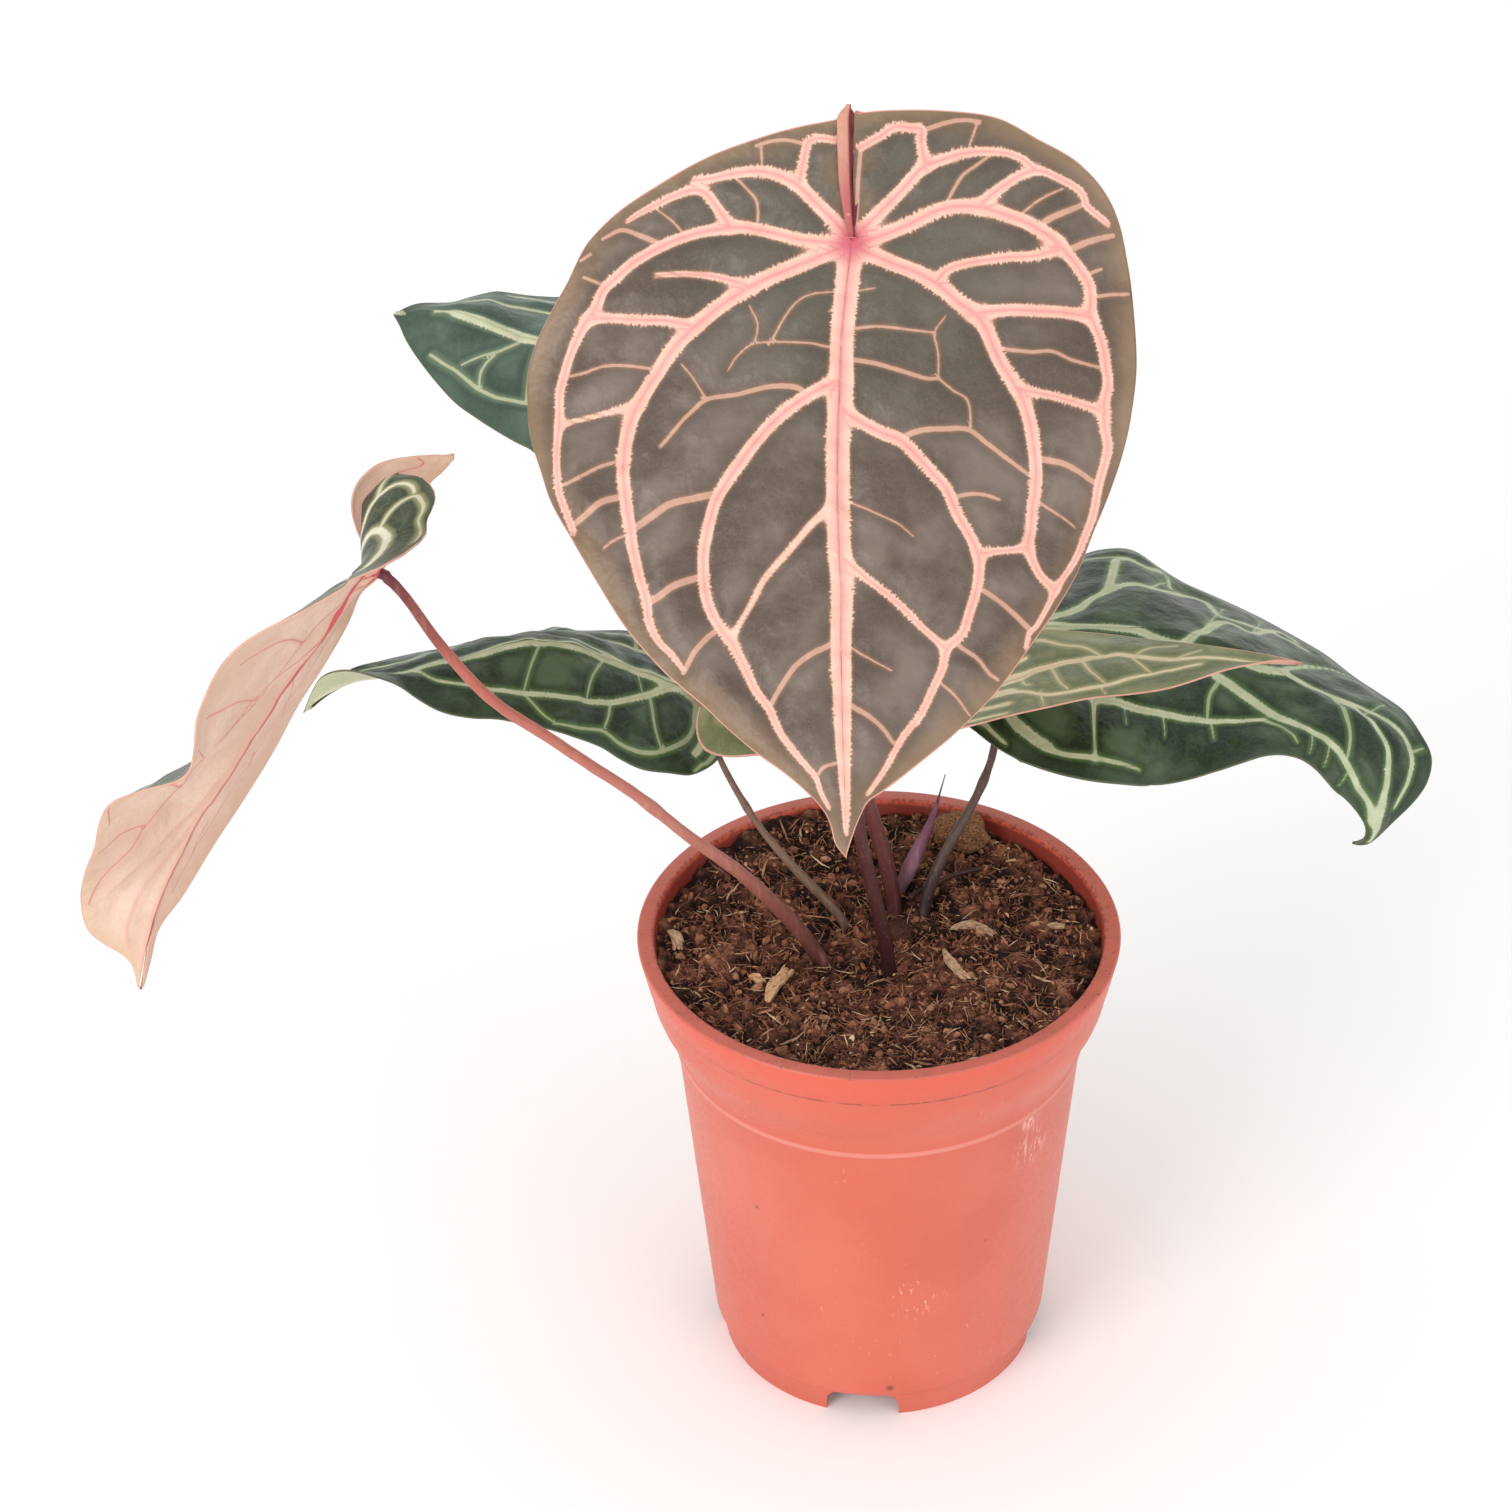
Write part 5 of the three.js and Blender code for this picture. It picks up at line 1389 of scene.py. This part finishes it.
def leafFace(name, look, under=False):
    m = newMaterial(name)
    vein, margin, joint = field(m, "vein"), field(m, "margin"), field(m, "joint")
    # feathered edges: spurs that run out square to the vein
    spurPlace = addNode(m, "CombineXYZ", {"X": field(m, "spur"), "Y": times(m, vein, 0.35)})
    spurs = noiseOn(m, spurPlace.outputs["Vector"], 1.5, 5, 0.72)
    uneven = times(m, ease(m, speckle(m, 120, 2), 0.35, 0.7, 0.3, 1.3),
                   ease(m, field(m, "broad"), 0.2, 1.0, 0.2, 1.0))
    ragged = times(m, times(m, maths(m, "SUBTRACT", spurs, 0.45), uneven), look["ragged"])
    edge = maths(m, "SUBTRACT", vein, ragged)
    veinMask = ease(m, edge, 0.26, -0.26)
    inThick = maths(m, "DIVIDE", maths(m, "ABSOLUTE", field(m, "coreSide")), field(m, "coreWide"))
    nearCore = ease(m, field(m, "coreNear"), 2.6, 1.8)
    fineEdge = maths(m, "SUBTRACT", maths(m, "ABSOLUTE", field(m, "fineSide")), field(m, "fineWide"))
    wobble = times(m, maths(m, "SUBTRACT", speckle(m, 950), 0.48), look["ragged"] * 0.09)
    fineEdge = maths(m, "ADD", fineEdge, wobble)
    fineNear = maths(m, "ADD", field(m, "fineNear"), wobble)
    fineMask = times(m, ease(m, fineEdge, 0.16, -0.14), ease(m, fineNear, 0.6, 0.2))
    # the blade between the veins
    cloud = ease(m, speckle(m, look.get("cloudScale", 60)), 0.38, 0.64, 0, look.get("cloudy", 0.75))
    lamina = mix(m, cloud, look["lamina"], look["laminaLight"])
    # towards the joint the lamina takes the look's green: on the young and drooping leaves a darker green,
    # painted shade on their lobes; on the front leaf a greener tone
    if "green" in look:
        lamina = mix(m, times(m, ease(m, joint, look["greenReach"], 8), 0.75), lamina, look["green"])
    cells = addNode(m, "TexVoronoi", {"Vector": addNode(m, "TexCoord").outputs["Object"], "Scale": 330,
                                      "Randomness": 1.0}, feature="DISTANCE_TO_EDGE").outputs["Distance"]
    net = times(m, ease(m, cells, 0.09, 0.02), look.get("net", 0.1))
    lamina = mix(m, net, lamina, look["halo"])
    grain = speckle(m, 2200, 2)
    lamina = mix(m, ease(m, grain, 0.35, 0.7, 0.0, 0.16), lamina, look["laminaLight"])
    band = times(m, ease(m, margin, look.get("bandReach", 6), 0.5), look.get("band", 0.5))
    lamina = mix(m, band, lamina, look["bandColour"])
    nearVein = maths(m, "MINIMUM", edge, maths(m, "MAXIMUM", fineEdge, fineNear))
    shadow = times(m, ease(m, nearVein, 3.2, 0.6), look.get("shadow", 0.35))
    lamina = mix(m, shadow, lamina, look["lamina"])
    halo = ease(m, nearVein, look.get("haloReach", 0.8), 0.0, 0, look.get("haloed", 0.7))
    lamina = mix(m, halo, lamina, look["halo"])
    # the veins, paler along their edges and pinker along the middle
    veinColour = mix(m, ease(m, speckle(m, 260, 2), 0.3, 0.7), look["vein"], look["veinLight"])
    fade = ease(m, joint, look.get("coreReach", 120), 10)
    blush = times(m, times(m, ease(m, inThick, 0.95, 0.15), nearCore), fade)
    veinColour = mix(m, times(m, blush, look.get("blushed", 0.8)), veinColour, look["blush"])
    line = times(m, times(m, ease(m, inThick, 0.28, 0.08), nearCore), fade)
    veinColour = mix(m, times(m, line, look.get("core", 0.7)), veinColour, look["coreColour"])
    veinColour = mix(m, ease(m, joint, look.get("knotReach", 7), 0.5, 0, 0.85), veinColour, look["knot"])
    colour = mix(m, times(m, fineMask, look.get("fine", 0.75)), lamina, look["vein"])
    colour = mix(m, times(m, veinMask, look.get("wide", 1.0)), colour, veinColour)
    if under:  # on this side the veins are ribs: thin lines, strongest near the joint
        swell = ease(m, joint, 100, 5, 0.16, 0.46)
        rib = maths(m, "SUBTRACT", maths(m, "ABSOLUTE", field(m, "coreSide")),
                    times(m, maths(m, "POWER", field(m, "coreWide"), 1.5), swell))
        ribs = times(m, ease(m, rib, 0.1, -0.1), nearCore)
        ribs = times(m, ribs, ease(m, field(m, "along"), -5, 0))
        thin = times(m, ease(m, maths(m, "ABSOLUTE", field(m, "fineSide")), 0.26, 0.06),
                     ease(m, fineNear, 0.6, 0.2))
        colour = mix(m, times(m, thin, look.get("thin", 0.55)), colour, look["vein"])
        colour = mix(m, times(m, ribs, ease(m, joint, 130, 5, 0.5, 1)), colour, look["coreColour"])
        # the rolled margin, reddened towards the joint, with painted shadow in dark red inside its curl
        rolled = field(m, "rolled")
        reddened = mix(m, times(m, ease(m, joint, 24, 6), 0.8), look["lamina"], look["knot"])
        colour = mix(m, ease(m, rolled, 0.5, 0.95, 0, 0.85), colour, reddened)
        # painted shadow: dark red inside the curl
        colour = mix(m, ease(m, rolled, 1.15, 1.8, 0, 0.92), colour, tone(112, 28, 44))
    rim = times(m, ease(m, margin, look.get("rimWide", 0.5), 0.2), 0.9)
    colour = mix(m, rim, colour, look["rimColour"])
    gloss = look["gloss"]
    roughness = mix(m, veinMask, (gloss,) * 3 + (1,), (gloss + 0.1,) * 3 + (1,))
    relief = maths(m, "ADD", times(m, veinMask, -0.3), times(m, cells, 0.9))
    bumps = [(relief, 0.00012), (grain, 0.00002), (speckle(m, 150), 0.0012)]
    return surface(m, colour, roughness, bumps, Specular_IOR_Level=look.get("specular", 0.4))


def edgeMaterial(name, colour, edgeBlush):
    m = newMaterial(name)
    return surface(m, mix(m, ease(m, speckle(m, 300, 2), 0.4, 0.7, 0, 0.3), colour, edgeBlush), 0.5)


frontLook = {
    "lamina": tone(90, 74, 63), "laminaLight": tone(136, 120, 109), "green": tone(80, 82, 68),
    "greenReach": 70, "halo": tone(142, 106, 80), "vein": tone(242, 190, 168),
    "veinLight": tone(246, 202, 182), "blush": tone(236, 164, 158), "coreColour": tone(222, 130, 132),
    "knot": tone(206, 84, 108), "bandColour": tone(158, 128, 96), "rimColour": tone(232, 164, 146),
    "ragged": 3.0, "gloss": 0.44, "blushed": 0.7, "core": 0.45, "fine": 0.55, "coreReach": 230, "band": 0.6,
    "bandReach": 8, "net": 0.1, "rimWide": 0.4,
}
frontUnder = {
    "lamina": tone(208, 146, 126), "laminaLight": tone(222, 166, 146), "halo": tone(214, 140, 124),
    "vein": tone(210, 122, 112), "veinLight": tone(216, 132, 120), "blush": tone(206, 96, 96),
    "coreColour": tone(190, 66, 78), "knot": tone(170, 50, 70), "bandColour": tone(214, 160, 138),
    "rimColour": tone(220, 140, 130), "ragged": 0.4, "gloss": 0.5, "net": 0.3, "wide": 0.2, "fine": 0.1,
    "shadow": 0,
}
darkLook = {
    "lamina": tone(26, 42, 23), "laminaLight": tone(86, 105, 75), "halo": tone(92, 122, 66),
    "vein": tone(176, 186, 150), "veinLight": tone(202, 206, 174), "blush": tone(190, 196, 158),
    "coreColour": tone(160, 170, 116), "knot": tone(160, 130, 100), "bandColour": tone(52, 70, 50),
    "rimColour": tone(86, 96, 66), "ragged": 2.0, "gloss": 0.34, "core": 0.5, "haloReach": 1.5, "cloudy": 0.8,
    "cloudScale": 70, "shadow": 0.7, "haloed": 0.7, "specular": 0.32,
}
darkUnder = {
    "lamina": tone(180, 180, 148), "laminaLight": tone(196, 194, 166), "halo": tone(200, 200, 166),
    "vein": tone(212, 214, 180), "veinLight": tone(222, 222, 190), "blush": tone(216, 200, 170),
    "coreColour": tone(206, 190, 150), "knot": tone(180, 120, 96), "bandColour": tone(186, 194, 156),
    "rimColour": tone(190, 186, 150), "ragged": 0.4, "gloss": 0.5, "net": 0.3, "fine": 0.4, "shadow": 0,
}
backLook = {
    **darkLook, "lamina": tone(60, 80, 66), "laminaLight": tone(98, 120, 104), "halo": tone(120, 140, 110),
    "vein": tone(204, 208, 170), "veinLight": tone(222, 224, 190), "bandColour": tone(76, 98, 80),
}
# the young leaf's green is painted shade on its lobes near the joint, and the drooping leaf's look takes it
# over
youngLook = {
    **darkLook, "green": tone(38, 48, 30), "greenReach": 42, "lamina": tone(98, 110, 72),
    "laminaLight": tone(150, 154, 110), "halo": tone(172, 170, 122), "vein": tone(222, 208, 168),
    "veinLight": tone(232, 222, 184), "blush": tone(226, 198, 166), "bandColour": tone(146, 150, 104),
    "rimColour": tone(224, 170, 150), "ragged": 1.2, "gloss": 0.38, "bandReach": 3.0, "band": 0.3,
    "rimWide": 0.25,
}
youngUnder = {**frontUnder, "lamina": tone(196, 170, 134), "laminaLight": tone(212, 186, 150)}
paleUnder = {
    **frontUnder, "lamina": tone(220, 184, 162), "laminaLight": tone(234, 202, 182),
    "halo": tone(226, 182, 162), "thin": 0.85, "vein": tone(208, 122, 112), "veinLight": tone(222, 170, 154),
    "blush": tone(216, 120, 116), "coreColour": tone(212, 92, 98), "knot": tone(200, 70, 88),
    "bandColour": tone(216, 182, 148), "rimColour": tone(220, 178, 146), "haloReach": 0.4, "wide": 0.12,
    "fine": 0.1, "net": 0.4, "cloudy": 0.9, "knotReach": 3,
}
droopLook = {
    **youngLook, "lamina": tone(58, 62, 46), "laminaLight": tone(112, 124, 98), "ragged": 2.6,
    "cloudScale": 30, "vein": tone(222, 214, 186), "veinLight": tone(232, 226, 204),
    "bandColour": tone(100, 112, 84),
}
leafLooks = {
    "leaf_front": (frontLook, frontUnder), "leaf_drooping_left": (droopLook, paleUnder),
    "leaf_mid_left": (darkLook, darkUnder), "leaf_back_left": (backLook, darkUnder),
    "leaf_big_right": (darkLook, darkUnder), "leaf_young_right": (youngLook, youngUnder),
}

for leaf in leaves.values():
    setOutlines(leaf)
    setPulls(leaf)
for name, leaf in leaves.items():
    veins = placeVeins(name, leaf)
    if name != "leaf_front":
        veins += borrowVeins(leaf, leaves["leaf_front"])
    upper, under = leafLooks[name]
    blade = makeLeaf(name, leaf, veins, [
        leafFace(leaf["piece"] + "_upper", upper), leafFace(leaf["piece"] + "_under", under, True),
        edgeMaterial(leaf["piece"] + "_edge", upper["rimColour"], upper["knot"])])
    finishPiece(blade, [name], leaf["slot"])
    print("made", leaf["piece"], len(blade.data.polygons), "faces")


# Stalks, spike and root: round stems along curves, thicker at the foot, with a knuckle where they bend

stems = {
    "petiole_front": {
        "piece": "front_stalk", "path": [(3, -3, 108), (2.5, -3, 115), (1.5, -3, 124.3), (-0.5, -2, 133.8),
            (-2.5, -1, 143), (-5, 0, 157), (-6, 10, 243), (-6, 9, 290), (-6, 1.9, 313.9)],
        "widths": [(0, 3.6), (0.08, 3.6), (0.2, 3.3), (0.6, 3.1), (0.92, 2.8), (1, 3.4)], "look": "dusky"},
    "petiole_drooping_left": {
        "piece": "drooping_stalk", "path": [(-10, 0, 108), (-14.2, 0, 115.2), (-19.8, -1, 125.9),
            (-27, -4, 137.4), (-34.8, -7, 148.6), (-44.8, -11, 160.2), (-58, -16, 177.2), (-68.7, -20, 188.8),
            (-79.2, -23, 199.9), (-86.2, -25, 206.6), (-91.4, -27, 213.5), (-96.2, -28, 221),
            (-100.7, -29, 228.7), (-106.1, -31, 240.7), (-109.6, -32, 247.2), (-112.8, -31.8, 249)],
        "widths": [(0, 3.8), (0.12, 3.9), (0.25, 3.4), (0.42, 2.8), (0.445, 3.2), (0.47, 2.8), (0.8, 2.6),
            (0.95, 2.3), (1, 2.6)], "look": "salmon"},
    "petiole_mid_left": {
        "piece": "middle_left_stalk", "path": [(-6, 13, 108), (-8.6, 14, 116.9), (-20.1, 18, 129.3),
            (-28.4, 22, 137.9), (-32.8, 25, 143.7), (-39.1, 30, 153.7), (-44.4, 34, 167.2)],
        "widths": [(0, 2.6), (0.3, 2.4), (0.6, 1.8), (0.64, 2.2), (0.68, 1.7), (1, 1.5)], "look": "brown"},
    "petiole_back_left": {
        "piece": "back_left_stalk", "path": [(4, 31, 106), (3.6, 32.5, 112), (2.3, 33.5, 119.6),
            (-2.6, 41, 133.7), (-9, 50, 158), (-22, 60, 196), (-42.9, 71.1, 234.6)],
        "widths": [(0, 3.4), (0.5, 3), (1, 2.5)], "look": "dusky"},
    "petiole_big_right": {
        "piece": "big_right_stalk", "path": [(10, 16, 109), (10.9, 18, 115.8), (14.1, 21, 127.1),
            (18.4, 24, 135.2), (24.1, 29, 144), (29.2, 37, 154.5), (30, 50, 178.2)],
        "widths": [(0, 3.2), (0.25, 3), (0.52, 2.2), (0.56, 2.6), (0.6, 2), (1, 2)], "look": "plum"},
    "petiole_young_right": {
        "piece": "young_right_stalk", "path": [(5, 18, 109), (3.8, 20, 115.6), (3.3, 21, 122.1),
            (0.8, 23, 134), (-2.5, 24, 145.6), (-7, 25, 169.9)],
        "widths": [(0, 4), (0.3, 4.1), (0.7, 3.4), (1, 2.6)], "look": "dusky"},
    "new_leaf_spike": {
        "piece": "new_leaf", "path": [(4.5, 27, 108), (4.3, 27, 114.2), (6.9, 27, 121.8), (9.4, 27.5, 128.3),
            (13.4, 28, 138.8), (15.3, 29, 146.1), (16.6, 29.8, 151.2)],
        "widths": [(0, 2.2), (0.15, 2.4), (0.38, 4.1), (0.5, 3.5), (0.62, 2.4), (0.8, 1.1), (0.88, 0.5),
            (1, 0.25)],
        "look": "sheath", "slot": "spike"},
    "dry_root": {
        "piece": "dry_root", "path": [(7.8, 20.6, 119.3), (10, 22.6, 120.4), (12.5, 24.3, 120.5),
            (18.5, 28, 121.5), (24.5, 30.4, 121.5), (29.5, 31.9, 121.3)],
        "widths": [(0, 1.9), (0.1, 1.4), (0.35, 1.1), (0.7, 1.3), (0.9, 0.8), (1, 0.3)], "look": "dry",
        "slot": "dry_root"},
}
stemLooks = {  # colours from the foot to the top, then the streak and its strength
    "salmon": ([tone(70, 36, 34), tone(134, 78, 70), tone(190, 120, 104), tone(190, 104, 90),
                tone(108, 42, 54)], tone(216, 162, 146), 0.25),
    "dusky": ([tone(40, 18, 22), tone(76, 34, 34), tone(104, 54, 50), tone(116, 62, 58), tone(106, 52, 52)],
              tone(150, 98, 90), 0.2),
    "brown": ([tone(74, 52, 44), tone(112, 84, 70), tone(134, 106, 88), tone(120, 90, 78), tone(104, 74, 66)],
              tone(156, 138, 108), 0.4),
    "plum": ([tone(38, 26, 30), tone(58, 42, 42), tone(92, 70, 62), tone(94, 66, 60), tone(88, 58, 56)],
             tone(124, 104, 86), 0.3),
    "sheath": ([tone(66, 46, 56), tone(140, 104, 122), tone(150, 104, 120), tone(112, 62, 84),
                tone(70, 46, 66)], tone(196, 160, 172), 0.5),
    "dry": ([tone(64, 34, 40), tone(56, 30, 30), tone(66, 38, 34), tone(60, 34, 30), tone(80, 50, 40)],
            tone(96, 62, 54), 0.3),
}
stemMaking = {"step": 1.1, "fewest": 24, "smoothings": 3}  # mm between rings, and the fewest rings


def makeStem(stem):
    rough = np.asarray(stem["path"], float)
    count = max(int(lineLengths(rough)[-1] / stemMaking["step"]), stemMaking["fewest"])
    parts = np.linspace(0, 1, count)
    points = alongLine(rough, parts)
    for _ in range(stemMaking["smoothings"]):  # the small kinks are smoothed out
        points[3:-3] = sum(points[3 + k:len(points) - 3 + k] for k in range(-3, 4)) / 7
    sizes, widths = zip(*stem["widths"])
    radii = easeThrough(sizes, widths, parts) / 2
    curve = addShape(bpy.ops.curve.primitive_nurbs_path_add)
    curve.data.splines.clear()
    line = curve.data.splines.new("POLY")
    line.points.add(count - 1)
    for bead, place, radius in zip(line.points, toFrame(points), radii):
        bead.co, bead.radius = (*place, 1), radius
    curve.data.bevel_depth = mm
    curve.data.bevel_resolution = 6
    curve.data.use_fill_caps = True
    pick(curve)
    bpy.ops.object.convert(target="MESH")
    made = bpy.context.object
    made.name = stem["piece"]
    skin = (getPoints(made) - potAxis) / mm
    gap = ((skin[:, None, :] - points[None]) ** 2).sum(2)
    nearest = gap.argmin(1)
    setField(made, "up", parts[nearest])
    bumps = roughness3d(skin, 0.35, 5) * 0.07 + roughness3d(skin, 1.4, 6) * 0.03
    setPoints(made, getPoints(made) + getNormals(made) * bumps[:, None] * mm)
    inEditMode(made, (bpy.ops.mesh.remove_doubles, {"threshold": 0.01 * mm}),
               (bpy.ops.mesh.normals_make_consistent, {"inside": False}))
    pick(made)
    bpy.ops.object.shade_smooth_by_angle(angle=math.radians(60))
    return made


def stemMaterial(name, colours, streak, strength):
    m = newMaterial(name)
    uneven = times(m, maths(m, "SUBTRACT", speckle(m, 60, 2), 0.5), 0.12)
    stops = list(zip((0, 0.14, 0.4, 0.8, 1), colours))
    colour = blendThrough(m, maths(m, "ADD", field(m, "up"), uneven), stops)
    streaks = speckle(m, 160, 4, (4, 4, 0.35))
    colour = mix(m, ease(m, streaks, 0.5, 0.75, 0, strength), colour, streak)
    flecks = speckle(m, 1300, 2)
    colour = mix(m, ease(m, flecks, 0.6, 0.75, 0, 0.12), colour, tone(214, 170, 150))
    colour = mix(m, ease(m, speckle(m, 420), 0.6, 0.75, 0, 0.3), colour, tone(70, 40, 40))
    return surface(m, colour, 0.46, [(streaks, 0.0003), (flecks, 0.00008)], Specular_IOR_Level=0.4)


stemFinishes = {look: stemMaterial(look + "_stem", *values) for look, values in stemLooks.items()}
for name, stem in stems.items():
    made = makeStem(stem)
    finishPiece(made, [name], stem.get("slot", "petiole"), stemFinishes[stem["look"]])
    print("made", stem["piece"], len(made.data.polygons), "faces")


# Crown, husk lump and chips lying on the compost: length, width, thickness, middle, turn, bow

lumps = {
    "crown": {"size": (20, 18, 26), "middle": (5, 13, 104), "turn": 20, "bow": 0, "lumpy": 0.9,
        "look": "rind"},
    "bark_lump": {"size": (15.2, 9.6, 9.6), "middle": (21, 43.8, 123.4), "turn": -30, "bow": 0.6,
        "lumpy": 1.9, "look": "husk"},
    "chip_front_left": {"size": (16, 3.6, 1.7), "middle": (-24.8, -16.2, None), "turn": 72, "bow": 0.6,
        "lumpy": 0.22, "look": "pale"},
    "chip_left_edge": {"size": (9, 3.2, 1.5), "middle": (-51.2, -0.3, None), "turn": -67, "bow": 0.9,
        "lumpy": 0.3, "look": "grey"},
    "chip_left_small": {"size": (5, 2.6, 1.3), "middle": (-30.2, -12.6, None), "turn": -37, "bow": 0.2,
        "lumpy": 0.3, "look": "pale"},
    "chip_right_curl": {"size": (15, 2.6, 1.6), "middle": (19.6, -5.2, None), "turn": -61, "bow": -1.6,
        "lumpy": 0.18, "look": "tan"},
    "chip_right_arc": {"size": (12.5, 2.6, 1.5), "middle": (23.2, 6.8, None), "turn": -10, "bow": 3.2,
        "lumpy": 0.25, "look": "grey"},
    "chip_right_edge": {"size": (5, 1.9, 1.2), "middle": (44.2, 6.9, None), "turn": 6, "bow": 0.3,
        "lumpy": 0.15, "look": "grey"},
}
lumpLooks = {  # dark and light colours, and how strongly they are streaked along the grain
    "rind": (tone(52, 30, 26), tone(104, 66, 52), 0.4),
    "husk": (tone(78, 46, 34), tone(190, 138, 98), 0.5),
    "pale": (tone(196, 138, 92), tone(250, 214, 168), 1.0),
    "tan": (tone(176, 128, 96), tone(240, 208, 172), 1.0),
    "grey": (tone(160, 122, 94), tone(236, 206, 170), 1.0),
}
# A chip is split along its grain into uneven strips: ahead, aside, turn, and parts of its length and width
chipStrips = [(0, 0, 0, 1, 0.7), (-0.12, 0.3, 5, 0.7, 0.4), (0.16, -0.32, -7, 0.62, 0.36),
              (0.3, 0.12, 12, 0.5, 0.2)]


def turnFlat(points, degrees):  # about the upright axis
    angle, (x, y) = math.radians(degrees), points.T[:2]
    return np.column_stack([x * math.cos(angle) - y * math.sin(angle),
                            x * math.sin(angle) + y * math.cos(angle), points[:, 2]])


def makeLump(name, lump):
    chip = lump["look"] not in ("husk", "rind")
    strips = chipStrips if chip else [(0, 0, 0, 1, 1)]
    cuts, square, ridging, coarseness = (9, 0.8, 1.0, 0.5) if chip else (17, 0.15, 0.5, 0.24)
    seed = sum(map(ord, name)) % 50
    pieces, shapes = [], []
    for index, (ahead, aside, turn, longer, wider) in enumerate(strips):
        length, wide, high = np.multiply(lump["size"], (longer, wider, 1 - 0.12 * index))
        made = addShape(bpy.ops.mesh.primitive_cube_add, size=1)
        inEditMode(made, (bpy.ops.mesh.subdivide, {"number_cuts": cuts, "smoothness": 0}))
        cube = getPoints(made)
        second, third = np.roll(cube, 1, 1) ** 2, np.roll(cube, 2, 1) ** 2
        rounded = cube * np.sqrt(np.maximum(1 - 2 * second - 2 * third + (16 / 3) * second * third, 0))
        shape = (rounded * (1 - square) + cube * square * 0.9) * (length, wide, high)
        if chip:
            shape[:, 1:] *= (1 - 0.75 * np.abs(shape[:, 0] / length * 2) ** 2.5)[:, None]
        ridged = roughness3d(shape * (0.3, 1.3, 1.3), ridging, seed + index)
        coarse = roughness3d(shape, coarseness, seed + 1 + index)
        normals = unit(shape / np.square((length, wide, high)) + 1e-9)
        shape += normals * ((ridged * 0.5 + coarse * 0.8) * lump["lumpy"])[:, None]
        shape = turnFlat(shape, turn) + np.multiply(lump["size"], (ahead, aside, 0))
        shape[:, 1] += lump["bow"] * (1 - (shape[:, 0] / lump["size"][0] * 2) ** 2)
        pieces.append(made)
        shapes.append(shape)
    x, y, z = lump["middle"]
    for made, shape in zip(pieces, shapes):
        spun = turnFlat(shape, lump["turn"])
        if z is None:
            ground = soilSurface(spun[::5, 0] + x, spun[::5, 1] + y)
            z = float(np.percentile(ground, 90)) + spun[:, 2].max() * 0.7
        setPoints(made, toFrame(spun + (x, y, z)))
        for key, values in zip(("grainAlong", "grainAcross", "grainUp"), shape.T):
            setField(made, key, values)
    pick(*pieces)
    if chip:
        bpy.ops.object.join()
    made = bpy.context.object
    made.name = name if name == "crown" else name + "_piece"
    bpy.ops.object.shade_smooth_by_angle(angle=math.radians(40))
    return made


def lumpMaterial(name, dark, light, streaky):
    m = newMaterial(name)
    along = times(m, field(m, "grainAlong"), 0.16 if streaky > 0.9 else 0.8)
    grain = addNode(m, "CombineXYZ", {"X": along, "Y": field(m, "grainAcross"), "Z": field(m, "grainUp")})
    lines = noiseOn(m, grain.outputs["Vector"], 2.6, 5, 0.65)
    colour = mix(m, ease(m, lines, 0.32, 0.66), dark, light)
    pits = speckle(m, 700)
    colour = mix(m, ease(m, pits, 0.58, 0.7, 0, 0.55), colour, tone(70, 48, 36))
    return surface(m, colour, 0.82, [(lines, 0.0006), (pits, 0.0003)], Specular_IOR_Level=0.25)


lumpFinishes = {look: lumpMaterial(look + "_wood", *values) for look, values in lumpLooks.items()}
for name, lump in lumps.items():
    slotName = {"crown": "crown", "bark_lump": "bark"}.get(name, "chip")
    finishPiece(makeLump(name, lump), [name], slotName, lumpFinishes[lump["look"]])
print("crown, husk lump and chips made")


# Floor, soft light and the finished table

floor = addShape(bpy.ops.mesh.primitive_plane_add, size=6)
floor.name = "floor"
floor.data.materials.append(surface(newMaterial("paper"), (0.96, 0.96, 0.96, 1), 0.9, Specular_IOR_Level=0.1))
floor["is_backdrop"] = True

lights = {  # place, size, watts
    "windowLight": ((-1.5, -1.9, 1.25), 1.5, 29),
    "fillLight": ((1.7, -1.7, 0.9), 1.6, 9),
}
for name, (place, size, watts) in lights.items():
    aim = Vector((0, 0, 0.16)) - Vector(place)
    bpy.ops.object.light_add(type="AREA", location=place, rotation=aim.to_track_quat("-Z", "Y").to_euler())
    light = bpy.context.object
    light.name = name
    light.data.shape, light.data.size, light.data.energy = "DISK", size, watts
world = bpy.data.worlds.new("studio")
world.use_nodes = True
world.node_tree.nodes["Background"].inputs["Color"].default_value = (1, 1, 1, 1)
world.node_tree.nodes["Background"].inputs["Strength"].default_value = 0.95
bpy.context.scene.world = world
bpy.context.scene.view_settings.view_transform = "Standard"

size = {"cad": [list(corner) for corner in cadBounds], "visual": [list(corner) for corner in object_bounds()]}
